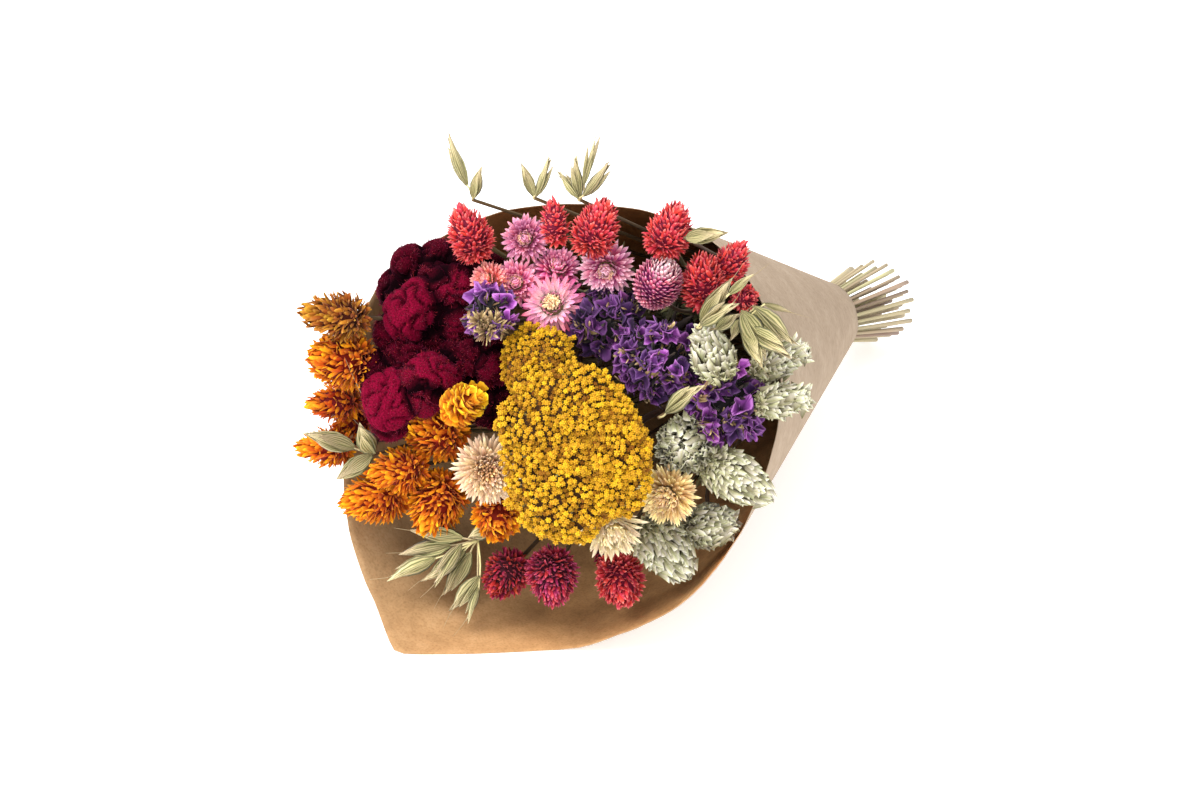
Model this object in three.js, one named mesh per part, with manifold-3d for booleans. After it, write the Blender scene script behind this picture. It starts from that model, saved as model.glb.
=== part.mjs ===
import * as THREE from 'three';
import { mergeVertices } from 'three/addons/utils/BufferGeometryUtils.js';
import Module from 'manifold-3d';

const wasm = await Module();
wasm.setup();

// A hand bouquet of dried flowers, tied round its stems, rolled in a cone of kraft paper and laid on a table.
// Lengths are in millimetres and angles in degrees. The bouquet is built along its own axis: x across, y up
// and z from the tie towards the flowers. The whole bunch is then laid down, flowers towards -Y.

// How the bunch lies: it rests on the lip of the paper and on the lowest stem ends.
const TABLE_SLOPE = 0.208;
const TABLE_DROP = 37.5;
const LIE_ANGLE = Math.atan(TABLE_SLOPE);

// Paper cone
const PAPER_THICKNESS = 0.6;
const NECK_RADIUS = 15;
const MOUTH_RADIUS = 100;
const MOUTH_DISTANCE = 300;
const SEAM_ANGLE = 160;
const SEAM_OVERLAP = 26;
const SEAM_GAP = 0.3;
const SEAM_RISE_FROM = 430;
const SEAM_RISE_TO = 515;
const PAPER_STEPS_ROUND = 60;
const PAPER_STEPS_ALONG = 6;

// Where the paper's two edges run: angle round the cone, distance along it. The sheet's front corner is at 254.
const PAPER_FRONT = [
  [160, 326], [185, 334], [201, 338], [226, 352], [241, 361], [254, 376], [266, 359], [284, 331], [305, 320],
  [322, 316], [357, 290], [383, 261], [410, 254], [440, 250], [460, 259], [476, 272], [494, 296], [513, 320],
  [546, 334],
];
const PAPER_NECK = [[160, 16], [270, 16], [320, 20], [380, 30], [430, 26], [460, 20], [546, 16]];

// Tie and stems
const TIE_CENTRE = 46;
const TIE_WIDTH = 5.6;
const TIE_TURNS = 2;
const TIE_FLARE = 0.36;
const TIE_THICKNESS = 1.3;
const TIE_SIDES = 24;
const CLEARANCE = 0.3;
const STEM_GAP = 0.5;
const STEM_BELOW_TIE = 101;
const STEM_LENGTH_SPREAD = 8;
const STEM_SPLAY = 2.3;
const STEM_SIDES = 5;
const STEM_BEND = 0.08;
const PINCH = 0.112;
const PACK_ROUNDS = 1500;
const PACK_PULL = 0.008;

const FINISH = {
  orange_phalaris: { color: 0xd8811c, roughness: 0.85 },
  red_phalaris: { color: 0xc23a3c, roughness: 0.85 },
  magenta_phalaris: { color: 0x8e1f45, roughness: 0.85 },
  natural_phalaris: { color: 0xb9bfa4, roughness: 0.85 },
  celosia: { color: 0x5e0f2a, roughness: 0.95 },
  yarrow: { color: 0xd2a71e, roughness: 0.95 },
  pink_strawflower: { color: 0xcf7fa0, roughness: 0.6 },
  gomphrena: { color: 0xb9548c, roughness: 0.75 },
  cream_strawflower: { color: 0xe0c298, roughness: 0.6 },
  statice: { color: 0x5c3f96, roughness: 0.8 },
  oat: { color: 0xb3a570, roughness: 0.75 },
  kraft_paper: { color: 0xb8875a, roughness: 0.9 },
  raffia: { color: 0xb59a63, roughness: 0.9 },
};

// Half outlines of the heads, from base to tip: share of the half width, share of the length.
const OUTLINE = {
  egg: [[0, 0], [0.62, 0.08], [1, 0.36], [0.86, 0.66], [0.45, 0.92], [0, 1]],
  cup: [[0, 0], [0.5, 0.1], [0.92, 0.42], [1, 0.72], [0.55, 0.92], [0, 1]],
  globe: [[0, 0], [0.6, 0.12], [0.98, 0.42], [0.92, 0.68], [0.5, 0.94], [0, 1]],
  crest: [[0, 0], [0.42, 0.1], [0.85, 0.36], [1, 0.62], [0.72, 0.9], [0, 1]],
  dome: [[0, 0], [0.1, 0.06], [0.7, 0.5], [1, 0.62], [0.94, 0.8], [0.55, 0.96], [0, 1]],
  spray: [[0, 0], [0.35, 0.1], [0.8, 0.42], [1, 0.7], [0.6, 0.94], [0, 1]],
};

// Every head was placed by eye from the photograph. A row holds the middle of the head as across, up and along,
// then how far its tip leans off the axis, towards which side (0 is +x and 90 is up), its width and its length.
const KINDS = [
  { name: 'orange_phalaris', outline: 'egg', sides: 7, stem: 1.1, heads: [
    [-90, 31, 372, 44, 176, 18, 27], [-90, 9, 365, 20, 150, 23, 28], [-95, -14, 359, 41, 192, 15, 23],
    [-92, -26, 346, 40, 208, 12, 20], [-96, -36, 361, 48, 186, 16, 23], [-57, -23, 329, 28, 130, 22, 27],
    [-26, 4, 355, 45, 65, 17, 22], [-60, -39, 352, 32, 188, 18, 25], [-72, -56, 351, 37, 199, 21, 28],
    [-45, -54, 340, 39, 290, 22, 27], [-13, -52, 336, 50, 345, 18, 22] ] },
  { name: 'red_phalaris', outline: 'egg', sides: 7, stem: 1.1, heads: [
    [-50, 74, 332, 55, 122, 18, 26], [-14, 86, 319, 55, 88, 12, 21], [5, 87, 314, 55, 72, 18, 26],
    [34, 91, 299, 55, 68, 18, 25], [50, 70, 290, 50, 95, 18, 26], [55, 78, 275, 50, 55, 15, 22],
    [67, 65, 280, 52, 28, 11, 18] ] },
  { name: 'magenta_phalaris', outline: 'egg', sides: 7, stem: 1.1, heads: [
    [-5, -78, 336, 29, 283, 19, 25], [18, -73, 332, 45, 305, 21, 27], [45, -70, 317, 52, 335, 20, 26],
    [27, -66, 300, 40, 300, 11, 18] ] },
  { name: 'natural_phalaris', outline: 'egg', sides: 7, stem: 1.1, heads: [
    [70, 45, 311, 40, 80, 19, 25], [91, 43, 284, 55, 30, 16, 24], [98, 27, 291, 55, 28, 16, 23],
    [57, -3, 300, 50, 20, 24, 28], [87, -11, 300, 55, 5, 21, 33], [74, -39, 293, 52, 352, 20, 26],
    [62, -50, 310, 52, 330, 24, 31], [77, 29, 275, 50, 25, 12, 19] ] },
  { name: 'celosia', outline: 'crest', sides: 9, stem: 2.2, heads: [
    [-65, 46, 330, 30, 130, 36, 36], [-56, 0, 349, 25, 190, 38, 36], [-37, 19, 326, 40, 30, 23, 32] ] },
  { name: 'yarrow', outline: 'dome', sides: 12, stem: 1.8, heads: [
    [33, -4, 346, 14, 20, 74, 26], [-4, 23, 331, 30, 85, 34, 22] ] },
  { name: 'pink_strawflower', outline: 'cup', sides: 8, stem: 1, heads: [
    [-29, 75, 318, 55, 97, 15, 12], [-44, 52, 322, 48, 163, 13, 11], [-29, 55, 321, 40, 105, 15, 12],
    [-16, 64, 308, 50, 82, 16, 12], [-9, 50, 319, 42, 66, 21, 13], [8, 67, 305, 52, 72, 18, 13] ] },
  { name: 'gomphrena', outline: 'globe', sides: 8, stem: 1, heads: [
    [32, 65, 299, 52, 68, 20, 21] ] },
  { name: 'cream_strawflower', outline: 'cup', sides: 9, stem: 1, heads: [
    [-18, -29, 341, 20, 338, 25, 14], [59, -25, 313, 50, 355, 21, 14], [40, -46, 322, 52, 110, 18, 15] ] },
  { name: 'statice', outline: 'spray', sides: 8, stem: 1.2, heads: [
    [-30, 40, 336, 33, 122, 21, 20], [10, 43, 302, 45, 75, 28, 27], [39, 31, 303, 45, 45, 30, 30],
    [73, 20, 296, 50, 25, 30, 26] ] },
];

// Oat sprays: the point where the spikelets part, as across, up and along, then each spikelet as the side that it
// points to (0 is +x, 90 is up), how far its tip rises along the axis, and its reach from the parting.
const OAT_WIDTH = 5.5;
const OAT_LENGTH = 24;
const OAT_STALK = 0.5;
const OATS = [
  { at: [-54, 88, 326], spikelets: [[118, 5, 31], [78, 2, 16]] },
  { at: [-24, 95, 322], spikelets: [[116, 3, 16], [70, 3, 22]] },
  { at: [-4, 98, 316], spikelets: [[135, 3, 16], [100, 4, 20], [76, 6, 32], [52, 6, 27]] },
  { at: [44, 90, 303], spikelets: [[20, 3, 22]] },
  { at: [64, 56, 318], spikelets: [[62, 2, 28], [41, 8, 28]] },
  { at: [78, 59, 302], spikelets: [[-40, 8, 22], [-14, 5, 28]] },
  { at: [56, 14, 325], spikelets: [[47, 4, 29]] },
  { at: [-74, -35, 353], spikelets: [[153, 26, 34], [88, 14, 22], [228, 10, 20]] },
  { at: [-22, -66, 336], spikelets: [[182, 12, 31], [202, 14, 37], [216, 20, 46], [231, 12, 32], [251, 8, 31]] },
];

function radians(degrees) {
  return degrees * Math.PI / 180;
}

function between(table, at) {
  const last = table.findIndex(([key]) => key >= at);
  const [from, low] = table[last - 1] ?? table[0];
  const [to, high] = table[last];
  return to === from ? high : low + (high - low) * (at - from) / (to - from);
}

function coneRadius(along) {
  return NECK_RADIUS + along * (MOUTH_RADIUS - NECK_RADIUS) / MOUTH_DISTANCE;
}

function tableHeight(along) {
  return -(TABLE_DROP + TABLE_SLOPE * along);
}

// A geometry becomes one closed solid with its faces pointing out.
function solid(geometry) {
  geometry.deleteAttribute('normal');
  geometry.deleteAttribute('uv');
  const merged = mergeVertices(geometry, 1e-4);
  const places = merged.attributes.position.array;
  const faces = Uint32Array.from(merged.index.array);
  if (signedVolume(places, faces) < 0) {
    for (let i = 0; i < faces.length; i += 3) {
      [faces[i], faces[i + 1]] = [faces[i + 1], faces[i]];
    }
  }
  return new wasm.Manifold(new wasm.Mesh({ numProp: 3, vertProperties: places, triVerts: faces }));
}

function signedVolume(places, faces) {
  const corner = (i) => new THREE.Vector3().fromArray(places, 3 * faces[i]);
  let sum = 0;
  for (let i = 0; i < faces.length; i += 3) {
    sum += corner(i).dot(corner(i + 1).cross(corner(i + 2))) / 6;
  }
  return sum;
}

function meshOf(body, name, finish) {
  const { vertProperties, triVerts } = body.getMesh();
  const geometry = new THREE.BufferGeometry();
  geometry.setAttribute('position', new THREE.BufferAttribute(vertProperties, 3));
  geometry.setIndex(new THREE.BufferAttribute(triVerts, 1));
  geometry.computeVertexNormals();
  const mesh = new THREE.Mesh(geometry, new THREE.MeshStandardMaterial({ ...FINISH[finish], metalness: 0 }));
  mesh.name = name;
  return mesh;
}

// A smooth curve that is cut into steps exactly at the points that it goes through.
class KnottedCurve extends THREE.CatmullRomCurve3 {
  getPointAt(share, target) {
    return this.getPoint(share, target);
  }

  getTangentAt(share, target) {
    return this.getTangent(share, target);
  }
}

function rod(points, radius) {
  const section = new THREE.Shape();
  for (let i = 0; i < STEM_SIDES; i++) {
    const turn = 2 * Math.PI * i / STEM_SIDES;
    const corner = [radius * Math.cos(turn), radius * Math.sin(turn)];
    if (i === 0) section.moveTo(...corner);
    else section.lineTo(...corner);
  }
  section.closePath();
  const path = new KnottedCurve(points, false, 'centripetal');
  const steps = points.length - 1;
  return solid(new THREE.ExtrudeGeometry(section, { steps, extrudePath: path, bevelEnabled: false }));
}

function direction(lean, towards) {
  const side = Math.sin(radians(lean));
  const rise = Math.cos(radians(lean));
  return new THREE.Vector3(side * Math.cos(radians(towards)), side * Math.sin(radians(towards)), rise);
}

function headSolid(outline, sides, width, length, base, tipwards) {
  const profile = OUTLINE[outline].map(([out, up]) => new THREE.Vector2(out * width / 2, up * length));
  const head = new THREE.LatheGeometry(profile, sides);
  head.applyQuaternion(new THREE.Quaternion().setFromUnitVectors(new THREE.Vector3(0, 1, 0), tipwards));
  head.translate(base.x, base.y, base.z);
  return solid(head);
}

// The stems are pinched together at the tie: each starts from its flower's place, drawn in, and the
// stems push each other apart until they lie side by side.
function packStems(sprigs) {
  const places = sprigs.map(({ foot }) => new THREE.Vector2(foot.x, foot.y).multiplyScalar(PINCH));
  for (let round = 0; round < PACK_ROUNDS; round++) {
    const pull = round < PACK_ROUNDS * 0.8 ? PACK_PULL : 0;
    places.forEach((place, i) => place.multiplyScalar(1 - pull * sprigs[i].stem));
    for (let i = 0; i < places.length; i++) {
      for (let j = 0; j < i; j++) {
        const apart = places[i].clone().sub(places[j]);
        const short = sprigs[i].stem + sprigs[j].stem + STEM_GAP - apart.length();
        if (short > 0) {
          apart.setLength(short / 2);
          places[i].add(apart);
          places[j].sub(apart);
        }
      }
    }
  }
  sprigs.forEach((sprig, i) => { sprig.pinch = places[i]; });
  return Math.max(...sprigs.map(({ pinch, stem }) => pinch.length() + stem));
}

function stemPath(sprig, index) {
  const { foot, tipwards, pinch, stem } = sprig;
  const waist = new THREE.Vector3(pinch.x, pinch.y, TIE_CENTRE);
  const below = STEM_BELOW_TIE - STEM_LENGTH_SPREAD * ((index * 7) % 5) / 4;
  const cut = new THREE.Vector3(pinch.x * STEM_SPLAY, pinch.y * STEM_SPLAY, TIE_CENTRE - below);
  cut.y = Math.max(cut.y, tableHeight(cut.z) + stem / Math.cos(LIE_ANGLE));
  const reach = foot.clone().sub(waist);
  const bend = tipwards.clone().multiplyScalar(-STEM_BEND * reach.length());
  const rise = new THREE.CubicBezierCurve3(
    waist, waist.clone().addScaledVector(reach, 0.45), foot.clone().add(bend), foot);
  const low = cut.clone().lerp(waist, 0.5);
  return [cut, low, waist, rise.getPoint(0.25), rise.getPoint(0.5), rise.getPoint(0.75), foot];
}

function flowerSprigs() {
  const sprigs = [];
  for (const { name, outline, sides, stem, heads } of KINDS) {
    heads.forEach(([across, up, along, lean, towards, width, length], i) => {
      const tipwards = direction(lean, towards);
      const base = new THREE.Vector3(across, up, along).addScaledVector(tipwards, -length / 2);
      const foot = base.clone().addScaledVector(tipwards, Math.min(2, length / 6));
      const parts = [headSolid(outline, sides, width, length, base, tipwards)];
      sprigs.push({ name: `${name}_${i + 1}`, finish: name, stem, foot, tipwards, parts });
    });
  }
  return sprigs;
}

function oatSprigs() {
  return OATS.map(({ at, spikelets }, i) => {
    const foot = new THREE.Vector3(...at);
    const parts = spikelets.map(([turn, rise, reach]) => {
      const flat = Math.sqrt(reach ** 2 - rise ** 2);
      const tip = new THREE.Vector3(flat * Math.cos(radians(turn)), flat * Math.sin(radians(turn)), rise).add(foot);
      const tipwards = tip.clone().sub(foot).normalize();
      const length = Math.min(reach, OAT_LENGTH);
      const base = tip.clone().addScaledVector(tipwards, -length);
      const husk = headSolid('egg', 6, OAT_WIDTH, length, base, tipwards);
      return husk.add(rod([foot, base.addScaledVector(tipwards, 2)], OAT_STALK));
    });
    const tipwards = foot.clone().normalize();
    return { name: `oat_spray_${i + 1}`, finish: 'oat', stem: 0.9, foot, tipwards, parts };
  });
}

function sprigSolid(sprig, index) {
  const stem = rod(stemPath(sprig, index), sprig.stem);
  return sprig.parts.reduce((whole, part) => whole.add(part), stem);
}

// Raffia wound round the stems: a ring with one rounded rib for each turn.
function tie(stemsRadius) {
  const waist = stemsRadius + CLEARANCE;
  const inner = waist + TIE_FLARE * TIE_WIDTH / 2;
  const rib = TIE_WIDTH / TIE_TURNS;
  const bottom = TIE_CENTRE - TIE_WIDTH / 2;
  const profile = [new THREE.Vector2(waist, TIE_CENTRE), new THREE.Vector2(inner, bottom)];
  for (let turn = 0; turn < TIE_TURNS; turn++) {
    profile.push(new THREE.Vector2(inner + TIE_THICKNESS * 0.7, bottom + rib * (turn + 0.1)));
    profile.push(new THREE.Vector2(inner + TIE_THICKNESS, bottom + rib * (turn + 0.5)));
    profile.push(new THREE.Vector2(inner + TIE_THICKNESS * 0.7, bottom + rib * (turn + 0.9)));
  }
  profile.push(new THREE.Vector2(inner, bottom + TIE_WIDTH));
  profile.push(profile[0].clone());
  const ring = new THREE.LatheGeometry(profile, TIE_SIDES);
  ring.rotateX(Math.PI / 2);
  return solid(ring);
}

// The sheet is a flat box first. Its width is rolled round the cone, a little past a full turn, and its
// height runs from the neck to the front edge. Where the lip would reach below the table it lies flat on it.
function paperWrap() {
  const sheet = new THREE.BoxGeometry(1, 1, 1, PAPER_STEPS_ROUND, PAPER_STEPS_ALONG, 1);
  const places = sheet.attributes.position;
  for (let i = 0; i < places.count; i++) {
    const turn = SEAM_ANGLE + (places.getX(i) + 0.5) * (360 + SEAM_OVERLAP);
    const share = 1 - (0.5 - places.getY(i)) ** 1.8;
    const depth = (places.getZ(i) + 0.5) * PAPER_THICKNESS;
    const neck = between(PAPER_NECK, turn);
    const along = neck + share * (between(PAPER_FRONT, turn) - neck);
    const lift = THREE.MathUtils.smoothstep(turn, SEAM_RISE_FROM, SEAM_RISE_TO) * (PAPER_THICKNESS + SEAM_GAP);
    const radius = coneRadius(along) + lift - depth;
    const floor = tableHeight(along) + depth / Math.cos(LIE_ANGLE);
    const up = radius * Math.sin(radians(turn));
    places.setXYZ(i, radius * Math.cos(radians(turn)), Math.max(up, floor), along);
  }
  return solid(sheet);
}

const bunch = new THREE.Group();
const sprigs = [...flowerSprigs(), ...oatSprigs()];
const stemsRadius = packStems(sprigs);
sprigs.forEach((sprig, i) => bunch.add(meshOf(sprigSolid(sprig, i), sprig.name, sprig.finish)));
bunch.add(meshOf(tie(stemsRadius), 'tie', 'raffia'));
bunch.add(meshOf(paperWrap(), 'paper_wrap', 'kraft_paper'));
bunch.rotation.x = Math.PI / 2 - LIE_ANGLE;
bunch.position.z = TABLE_DROP * Math.cos(LIE_ANGLE);

// The origin is under the middle of the bouquet, on the table.
const bouquet = new THREE.Group();
bouquet.add(bunch);
bouquet.updateMatrixWorld(true);
const middle = new THREE.Box3().setFromObject(bouquet, true).getCenter(new THREE.Vector3());
bouquet.position.set(-middle.x, -middle.y, 0);

export default bouquet;
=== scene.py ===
# %% [markdown]
# A hand bouquet of dried flowers, rolled in kraft paper and laid on a table. Nearly everything in it is
# thin, small and repeated: scales, petals, beads, husks. Each could be modelled once and placed as an
# instance, but instances are lost when a scene is exported, so here every scale becomes real mesh. To make
# thousands of them quickly, their corners are worked out for all scales at once with numpy, and one mesh is
# made for each stem.

# %% Load the frame
import math

import bmesh
import bpy
import numpy as np
from mathutils import Matrix, Vector, noise


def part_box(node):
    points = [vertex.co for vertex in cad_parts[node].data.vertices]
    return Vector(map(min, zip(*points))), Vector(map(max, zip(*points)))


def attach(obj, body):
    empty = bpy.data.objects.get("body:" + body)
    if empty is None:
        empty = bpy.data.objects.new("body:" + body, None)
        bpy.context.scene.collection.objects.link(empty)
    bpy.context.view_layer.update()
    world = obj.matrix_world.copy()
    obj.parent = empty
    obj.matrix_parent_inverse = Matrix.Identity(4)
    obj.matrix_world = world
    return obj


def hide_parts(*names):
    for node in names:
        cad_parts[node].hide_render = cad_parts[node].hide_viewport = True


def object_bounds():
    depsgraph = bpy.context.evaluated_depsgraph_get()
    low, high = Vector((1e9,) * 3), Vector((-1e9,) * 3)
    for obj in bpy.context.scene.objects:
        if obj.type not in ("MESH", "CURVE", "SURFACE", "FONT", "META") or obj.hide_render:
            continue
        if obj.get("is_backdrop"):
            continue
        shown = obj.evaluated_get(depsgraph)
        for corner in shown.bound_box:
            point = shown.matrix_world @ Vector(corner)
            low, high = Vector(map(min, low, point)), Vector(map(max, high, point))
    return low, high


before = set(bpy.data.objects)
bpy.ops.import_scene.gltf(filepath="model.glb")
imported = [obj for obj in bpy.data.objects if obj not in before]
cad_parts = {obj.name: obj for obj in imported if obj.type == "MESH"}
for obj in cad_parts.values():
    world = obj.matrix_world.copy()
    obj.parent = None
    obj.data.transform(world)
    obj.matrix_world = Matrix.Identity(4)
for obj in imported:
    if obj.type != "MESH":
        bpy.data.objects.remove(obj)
CAD_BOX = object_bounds()
print("frame loaded with", len(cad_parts), "pieces")

# %% [markdown]
# The bouquet was built standing along its own axis and then laid down on its lip. Every flower is easiest
# to think about along that axis, so points are kept as three lengths: across the bunch, up, and along it
# from the tie to the flowers. Two small functions turn them into the room's own directions and back.

# %% Directions of the bunch
MM = 0.001
LIE_SLOPE = 0.208
LIE_ANGLE = math.atan(LIE_SLOPE)
TIE_CENTRE = 46 * MM
ACROSS = (1, 0, 0)
UP = (0, math.sin(LIE_ANGLE), math.cos(LIE_ANGLE))
ALONG = (0, -math.cos(LIE_ANGLE), math.sin(LIE_ANGLE))
BUNCH_AXES = np.array((ACROSS, UP, ALONG))
tie_low, tie_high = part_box("tie")
BUNCH_START = np.array((tie_low + tie_high) / 2) - TIE_CENTRE * BUNCH_AXES[2]


def to_room(points):
    return np.asarray(points) @ BUNCH_AXES + BUNCH_START


def to_bunch(points):
    return (np.asarray(points) - BUNCH_START) @ BUNCH_AXES.T


print("the bunch is measured from", BUNCH_START.round(4))

# %% [markdown]
# A still-life photograph is easiest to match when the camera is described as a photographer would: where it
# looks, from which side, how high, how far and with which lens. The camera is also turned a little about
# its own line of sight, because the picture was not quite level.

# %% Camera
LOOK_AT = Vector(to_room(np.array((12.6, 5.9, 301.6)) * MM))
CAMERA_SIDE = math.radians(31.12)
CAMERA_HEIGHT = math.radians(26.71)
CAMERA_ROLL = math.radians(1.87)
CAMERA_DISTANCE = 0.923

scene = bpy.context.scene
backwards = Vector((
    math.sin(CAMERA_SIDE) * math.cos(CAMERA_HEIGHT),
    -math.cos(CAMERA_SIDE) * math.cos(CAMERA_HEIGHT),
    math.sin(CAMERA_HEIGHT),
))
camera = bpy.data.objects.new("camera", bpy.data.cameras.new("camera"))
camera.data.lens = 60
camera.data.sensor_width = 36
camera.data.clip_start = 0.05
camera.data.clip_end = 50


def turned_towards(way):
    """The turn of a camera or a lamp that looks along a direction."""
    return way.to_track_quat("-Z", "Y").to_matrix().to_4x4()


turn = turned_towards(-backwards) @ Matrix.Rotation(CAMERA_ROLL, 4, "Z")
camera.matrix_world = Matrix.Translation(LOOK_AT + backwards * CAMERA_DISTANCE) @ turn
scene.collection.objects.link(camera)
scene.camera = camera
print("camera at", tuple(round(x, 3) for x in camera.matrix_world.translation))

# %% [markdown]
# The light is that of a white product table. A large soft lamp from the upper left draws the shapes, a
# weaker one from the left opens their shade, and a low one from the right front reaches under the flowers.
# A pale room fills the rest, and the table glows a little, as a lit sheet of white plastic does, so that it
# stays white in the shadows. A view transform decides how light becomes colour. The standard one keeps dyed
# flowers as saturated as they are, where a film-like one would grey them.

# %% Light and table
HALF_TABLE = 6
TABLE_TONE = 0.95
TABLE_GLOW = 0.42
ROOM_LIGHT = 0.9
scene.view_settings.view_transform = "Standard"
room = bpy.data.worlds.new("room")
room.use_nodes = True
room.node_tree.nodes["Background"].inputs["Color"].default_value = (1, 1, 1, 1)
room.node_tree.nodes["Background"].inputs["Strength"].default_value = ROOM_LIGHT
scene.world = room


def soft_lamp(name, place, target, size, power):
    lamp = bpy.data.lights.new(name, "AREA")
    lamp.size = size
    lamp.energy = power
    holder = bpy.data.objects.new(name, lamp)
    holder.matrix_world = Matrix.Translation(place) @ turned_towards(Vector(target) - Vector(place))
    scene.collection.objects.link(holder)


soft_lamp("window_lamp", (-0.35, -0.85, 1.55), (0, -0.1, 0.08), size=1.15, power=41)
soft_lamp("fill_lamp", (-1.3, -1.2, 0.8), (0, -0.1, 0.08), size=1.4, power=12)
soft_lamp("front_lamp", (0.75, -1.35, 0.45), (0, -0.1, 0.05), size=1.1, power=9)

table_mesh = bpy.data.meshes.new("table")
table_mesh.from_pydata([(x * HALF_TABLE, y * HALF_TABLE, 0) for x, y in ((-1, -1), (1, -1), (1, 1), (-1, 1))],
                       [], [(0, 1, 2, 3)])
table_paint = bpy.data.materials.new("table_paint")
table_paint.use_nodes = True
table_shader = table_paint.node_tree.nodes["Principled BSDF"]
for socket, value in (("Base Color", (TABLE_TONE, TABLE_TONE, TABLE_TONE, 1)), ("Roughness", 0.6),
                      ("Emission Color", (1, 1, 1, 1)), ("Emission Strength", TABLE_GLOW)):
    table_shader.inputs[socket].default_value = value
table_mesh.materials.append(table_paint)
table = bpy.data.objects.new("table", table_mesh)
scene.collection.objects.link(table)
table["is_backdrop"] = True

# %% [markdown]
# Each stem and flower head was placed in the frame as a plain solid, and the detailed piece has to sit
# exactly there. So nothing is typed in twice: a sprig is read back from its solid. Its stem is six rings of
# five corners, found by sorting the corners along the bunch, and the rest is the head. A head is round
# about its axis, so its spread is the same in two directions and different in the third, which an
# eigenvector gives.

# %% Read a sprig from the frame
STEM_RINGS = 6
STEM_CORNERS = 5


def corners_of(piece):
    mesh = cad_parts[piece].data
    places = np.empty(len(mesh.vertices) * 3, np.float32)
    mesh.vertices.foreach_get("co", places)
    return to_bunch(np.unique(places.reshape(-1, 3), axis=0))


def round_axis(corners, heading):
    """The axis about which the corners lie in a round, on the side that the heading points to."""
    spread, directions = np.linalg.eigh(np.cov((corners - corners.mean(0)).T))
    odd_one = 0 if spread[2] - spread[1] < spread[1] - spread[0] else 2
    axis = directions[:, odd_one]
    return axis if axis @ heading > 0 else -axis


def read_sprig(piece):
    corners = corners_of(piece)
    corners = corners[np.argsort(corners[:, 2])]
    rings = corners[:STEM_RINGS * STEM_CORNERS].reshape(STEM_RINGS, STEM_CORNERS, 3)
    knots = rings.mean(axis=1)
    thickness = 2 * np.linalg.norm(rings - knots[:, None], axis=2).mean()
    head = corners[STEM_RINGS * STEM_CORNERS:]
    axis = round_axis(head, head.mean(axis=0) - knots[-1])
    share = (head - head.mean(axis=0)) @ axis
    middle = head.mean(axis=0) + axis * (share.max() + share.min()) / 2
    length = share.max() - share.min()
    width = 2 * np.linalg.norm((head - middle) - np.outer((head - middle) @ axis, axis), axis=1).max()
    return {"knots": knots, "thickness": thickness, "corners": head, "axis": axis,
            "base": middle - axis * length / 2, "length": length, "width": width}


def kind_of(name):
    return name.rstrip("0123456789").rstrip("_")


sprigs = {name: read_sprig(name) for name in sorted(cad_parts) if name not in ("tie", "paper_wrap")}
print("read", len(sprigs), "sprigs")

# %% [markdown]
# Every piece is collected as lists of corners and faces and turned into one mesh at the end, which is far
# quicker than making many objects and joining them. Each corner also keeps four marks: how far along its
# scale or petal it lies, how far across, how high on the flower head, and a random pick for its own scale.
# Some marks carry painted light. On the cockscomb the along mark holds how much light reaches each corner,
# and on the statice the height mark holds painted light. A low height paints shade at the foot of the grass
# heads and on sunken yarrow beads. The finishes read these marks, so that colour follows the plant's own
# shape and not a picture wrapped round it.

# %% Collect parts into one mesh
MARKS = ("along", "across", "height", "pick")


class Growth:
    """The parts of one piece, collected before they become a mesh, and random numbers of its own."""

    def __init__(self, seed=0):
        self.rng = np.random.default_rng(seed)
        self.points, self.faces, self.finishes, self.count = [], [], [], 0
        self.marks = {mark: [] for mark in MARKS}

    def add(self, points, faces, finish=0, **marks):
        """finish is the number of a finish, or one number for each list of faces."""
        points = np.asarray(points, float).reshape(-1, 3)
        worn = finish if isinstance(finish, tuple) else (finish,) * len(faces)
        for face_list, one_finish in zip(faces, worn):
            self.faces.append(np.asarray(face_list) + self.count)
            self.finishes.append(np.full(len(face_list), one_finish))
        for mark in MARKS:
            self.marks[mark].append(np.broadcast_to(marks.get(mark, 0.0), len(points)))
        self.points.append(points)
        self.count += len(points)

    def add_many(self, points, faces, finish, alike, own):
        """Copies of one shape. alike holds marks that all copies share, and own those of each copy."""
        count, size = points.shape[:2]
        marks = {mark: np.tile(values, count) for mark, values in alike.items()}
        for mark, values in own.items():
            marks[mark] = np.repeat(np.broadcast_to(values, count), size)
        starts = np.arange(count)[:, None, None] * size
        self.add(points, [(starts + f).reshape(-1, f.shape[-1]) for f in faces], finish, **marks)

    def make(self, node, slot, finishes, smooth, name=None):
        """One mesh in place of the plain solid. smooth lists the finishes that are shaded as one surface."""
        name = name or node + "_sprig"
        mesh = bpy.data.meshes.new(name)
        sizes = np.concatenate([np.full(len(f), f.shape[1]) for f in self.faces])
        corners = np.concatenate([f.ravel() for f in self.faces])
        worn = np.concatenate(self.finishes)
        mesh.vertices.add(self.count)
        mesh.vertices.foreach_set("co", to_room(np.concatenate(self.points)).ravel())
        mesh.loops.add(len(corners))
        mesh.loops.foreach_set("vertex_index", corners)
        mesh.polygons.add(len(sizes))
        mesh.polygons.foreach_set("loop_start", np.cumsum(sizes) - sizes)
        mesh.polygons.foreach_set("material_index", worn)
        mesh.polygons.foreach_set("use_smooth", np.isin(worn, smooth))
        for mark, values in self.marks.items():
            layer = mesh.attributes.new(mark, "FLOAT", "POINT")
            layer.data.foreach_set("value", np.concatenate(values).astype(np.float32))
        for finish in finishes:
            mesh.materials.append(finish)
        mesh.update(calc_edges=True)
        piece = bpy.data.objects.new(name, mesh)
        scene.collection.objects.link(piece)
        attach(piece, "root")
        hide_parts(node)
        return piece


def started(names, seed, kinds):
    """Each sprig of these kinds in turn, with an empty growth."""
    for number, name in enumerate(names):
        if kind_of(name) in kinds:
            yield name, sprigs[name], Growth(seed + number)


print("each corner carries the marks", MARKS)

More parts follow.
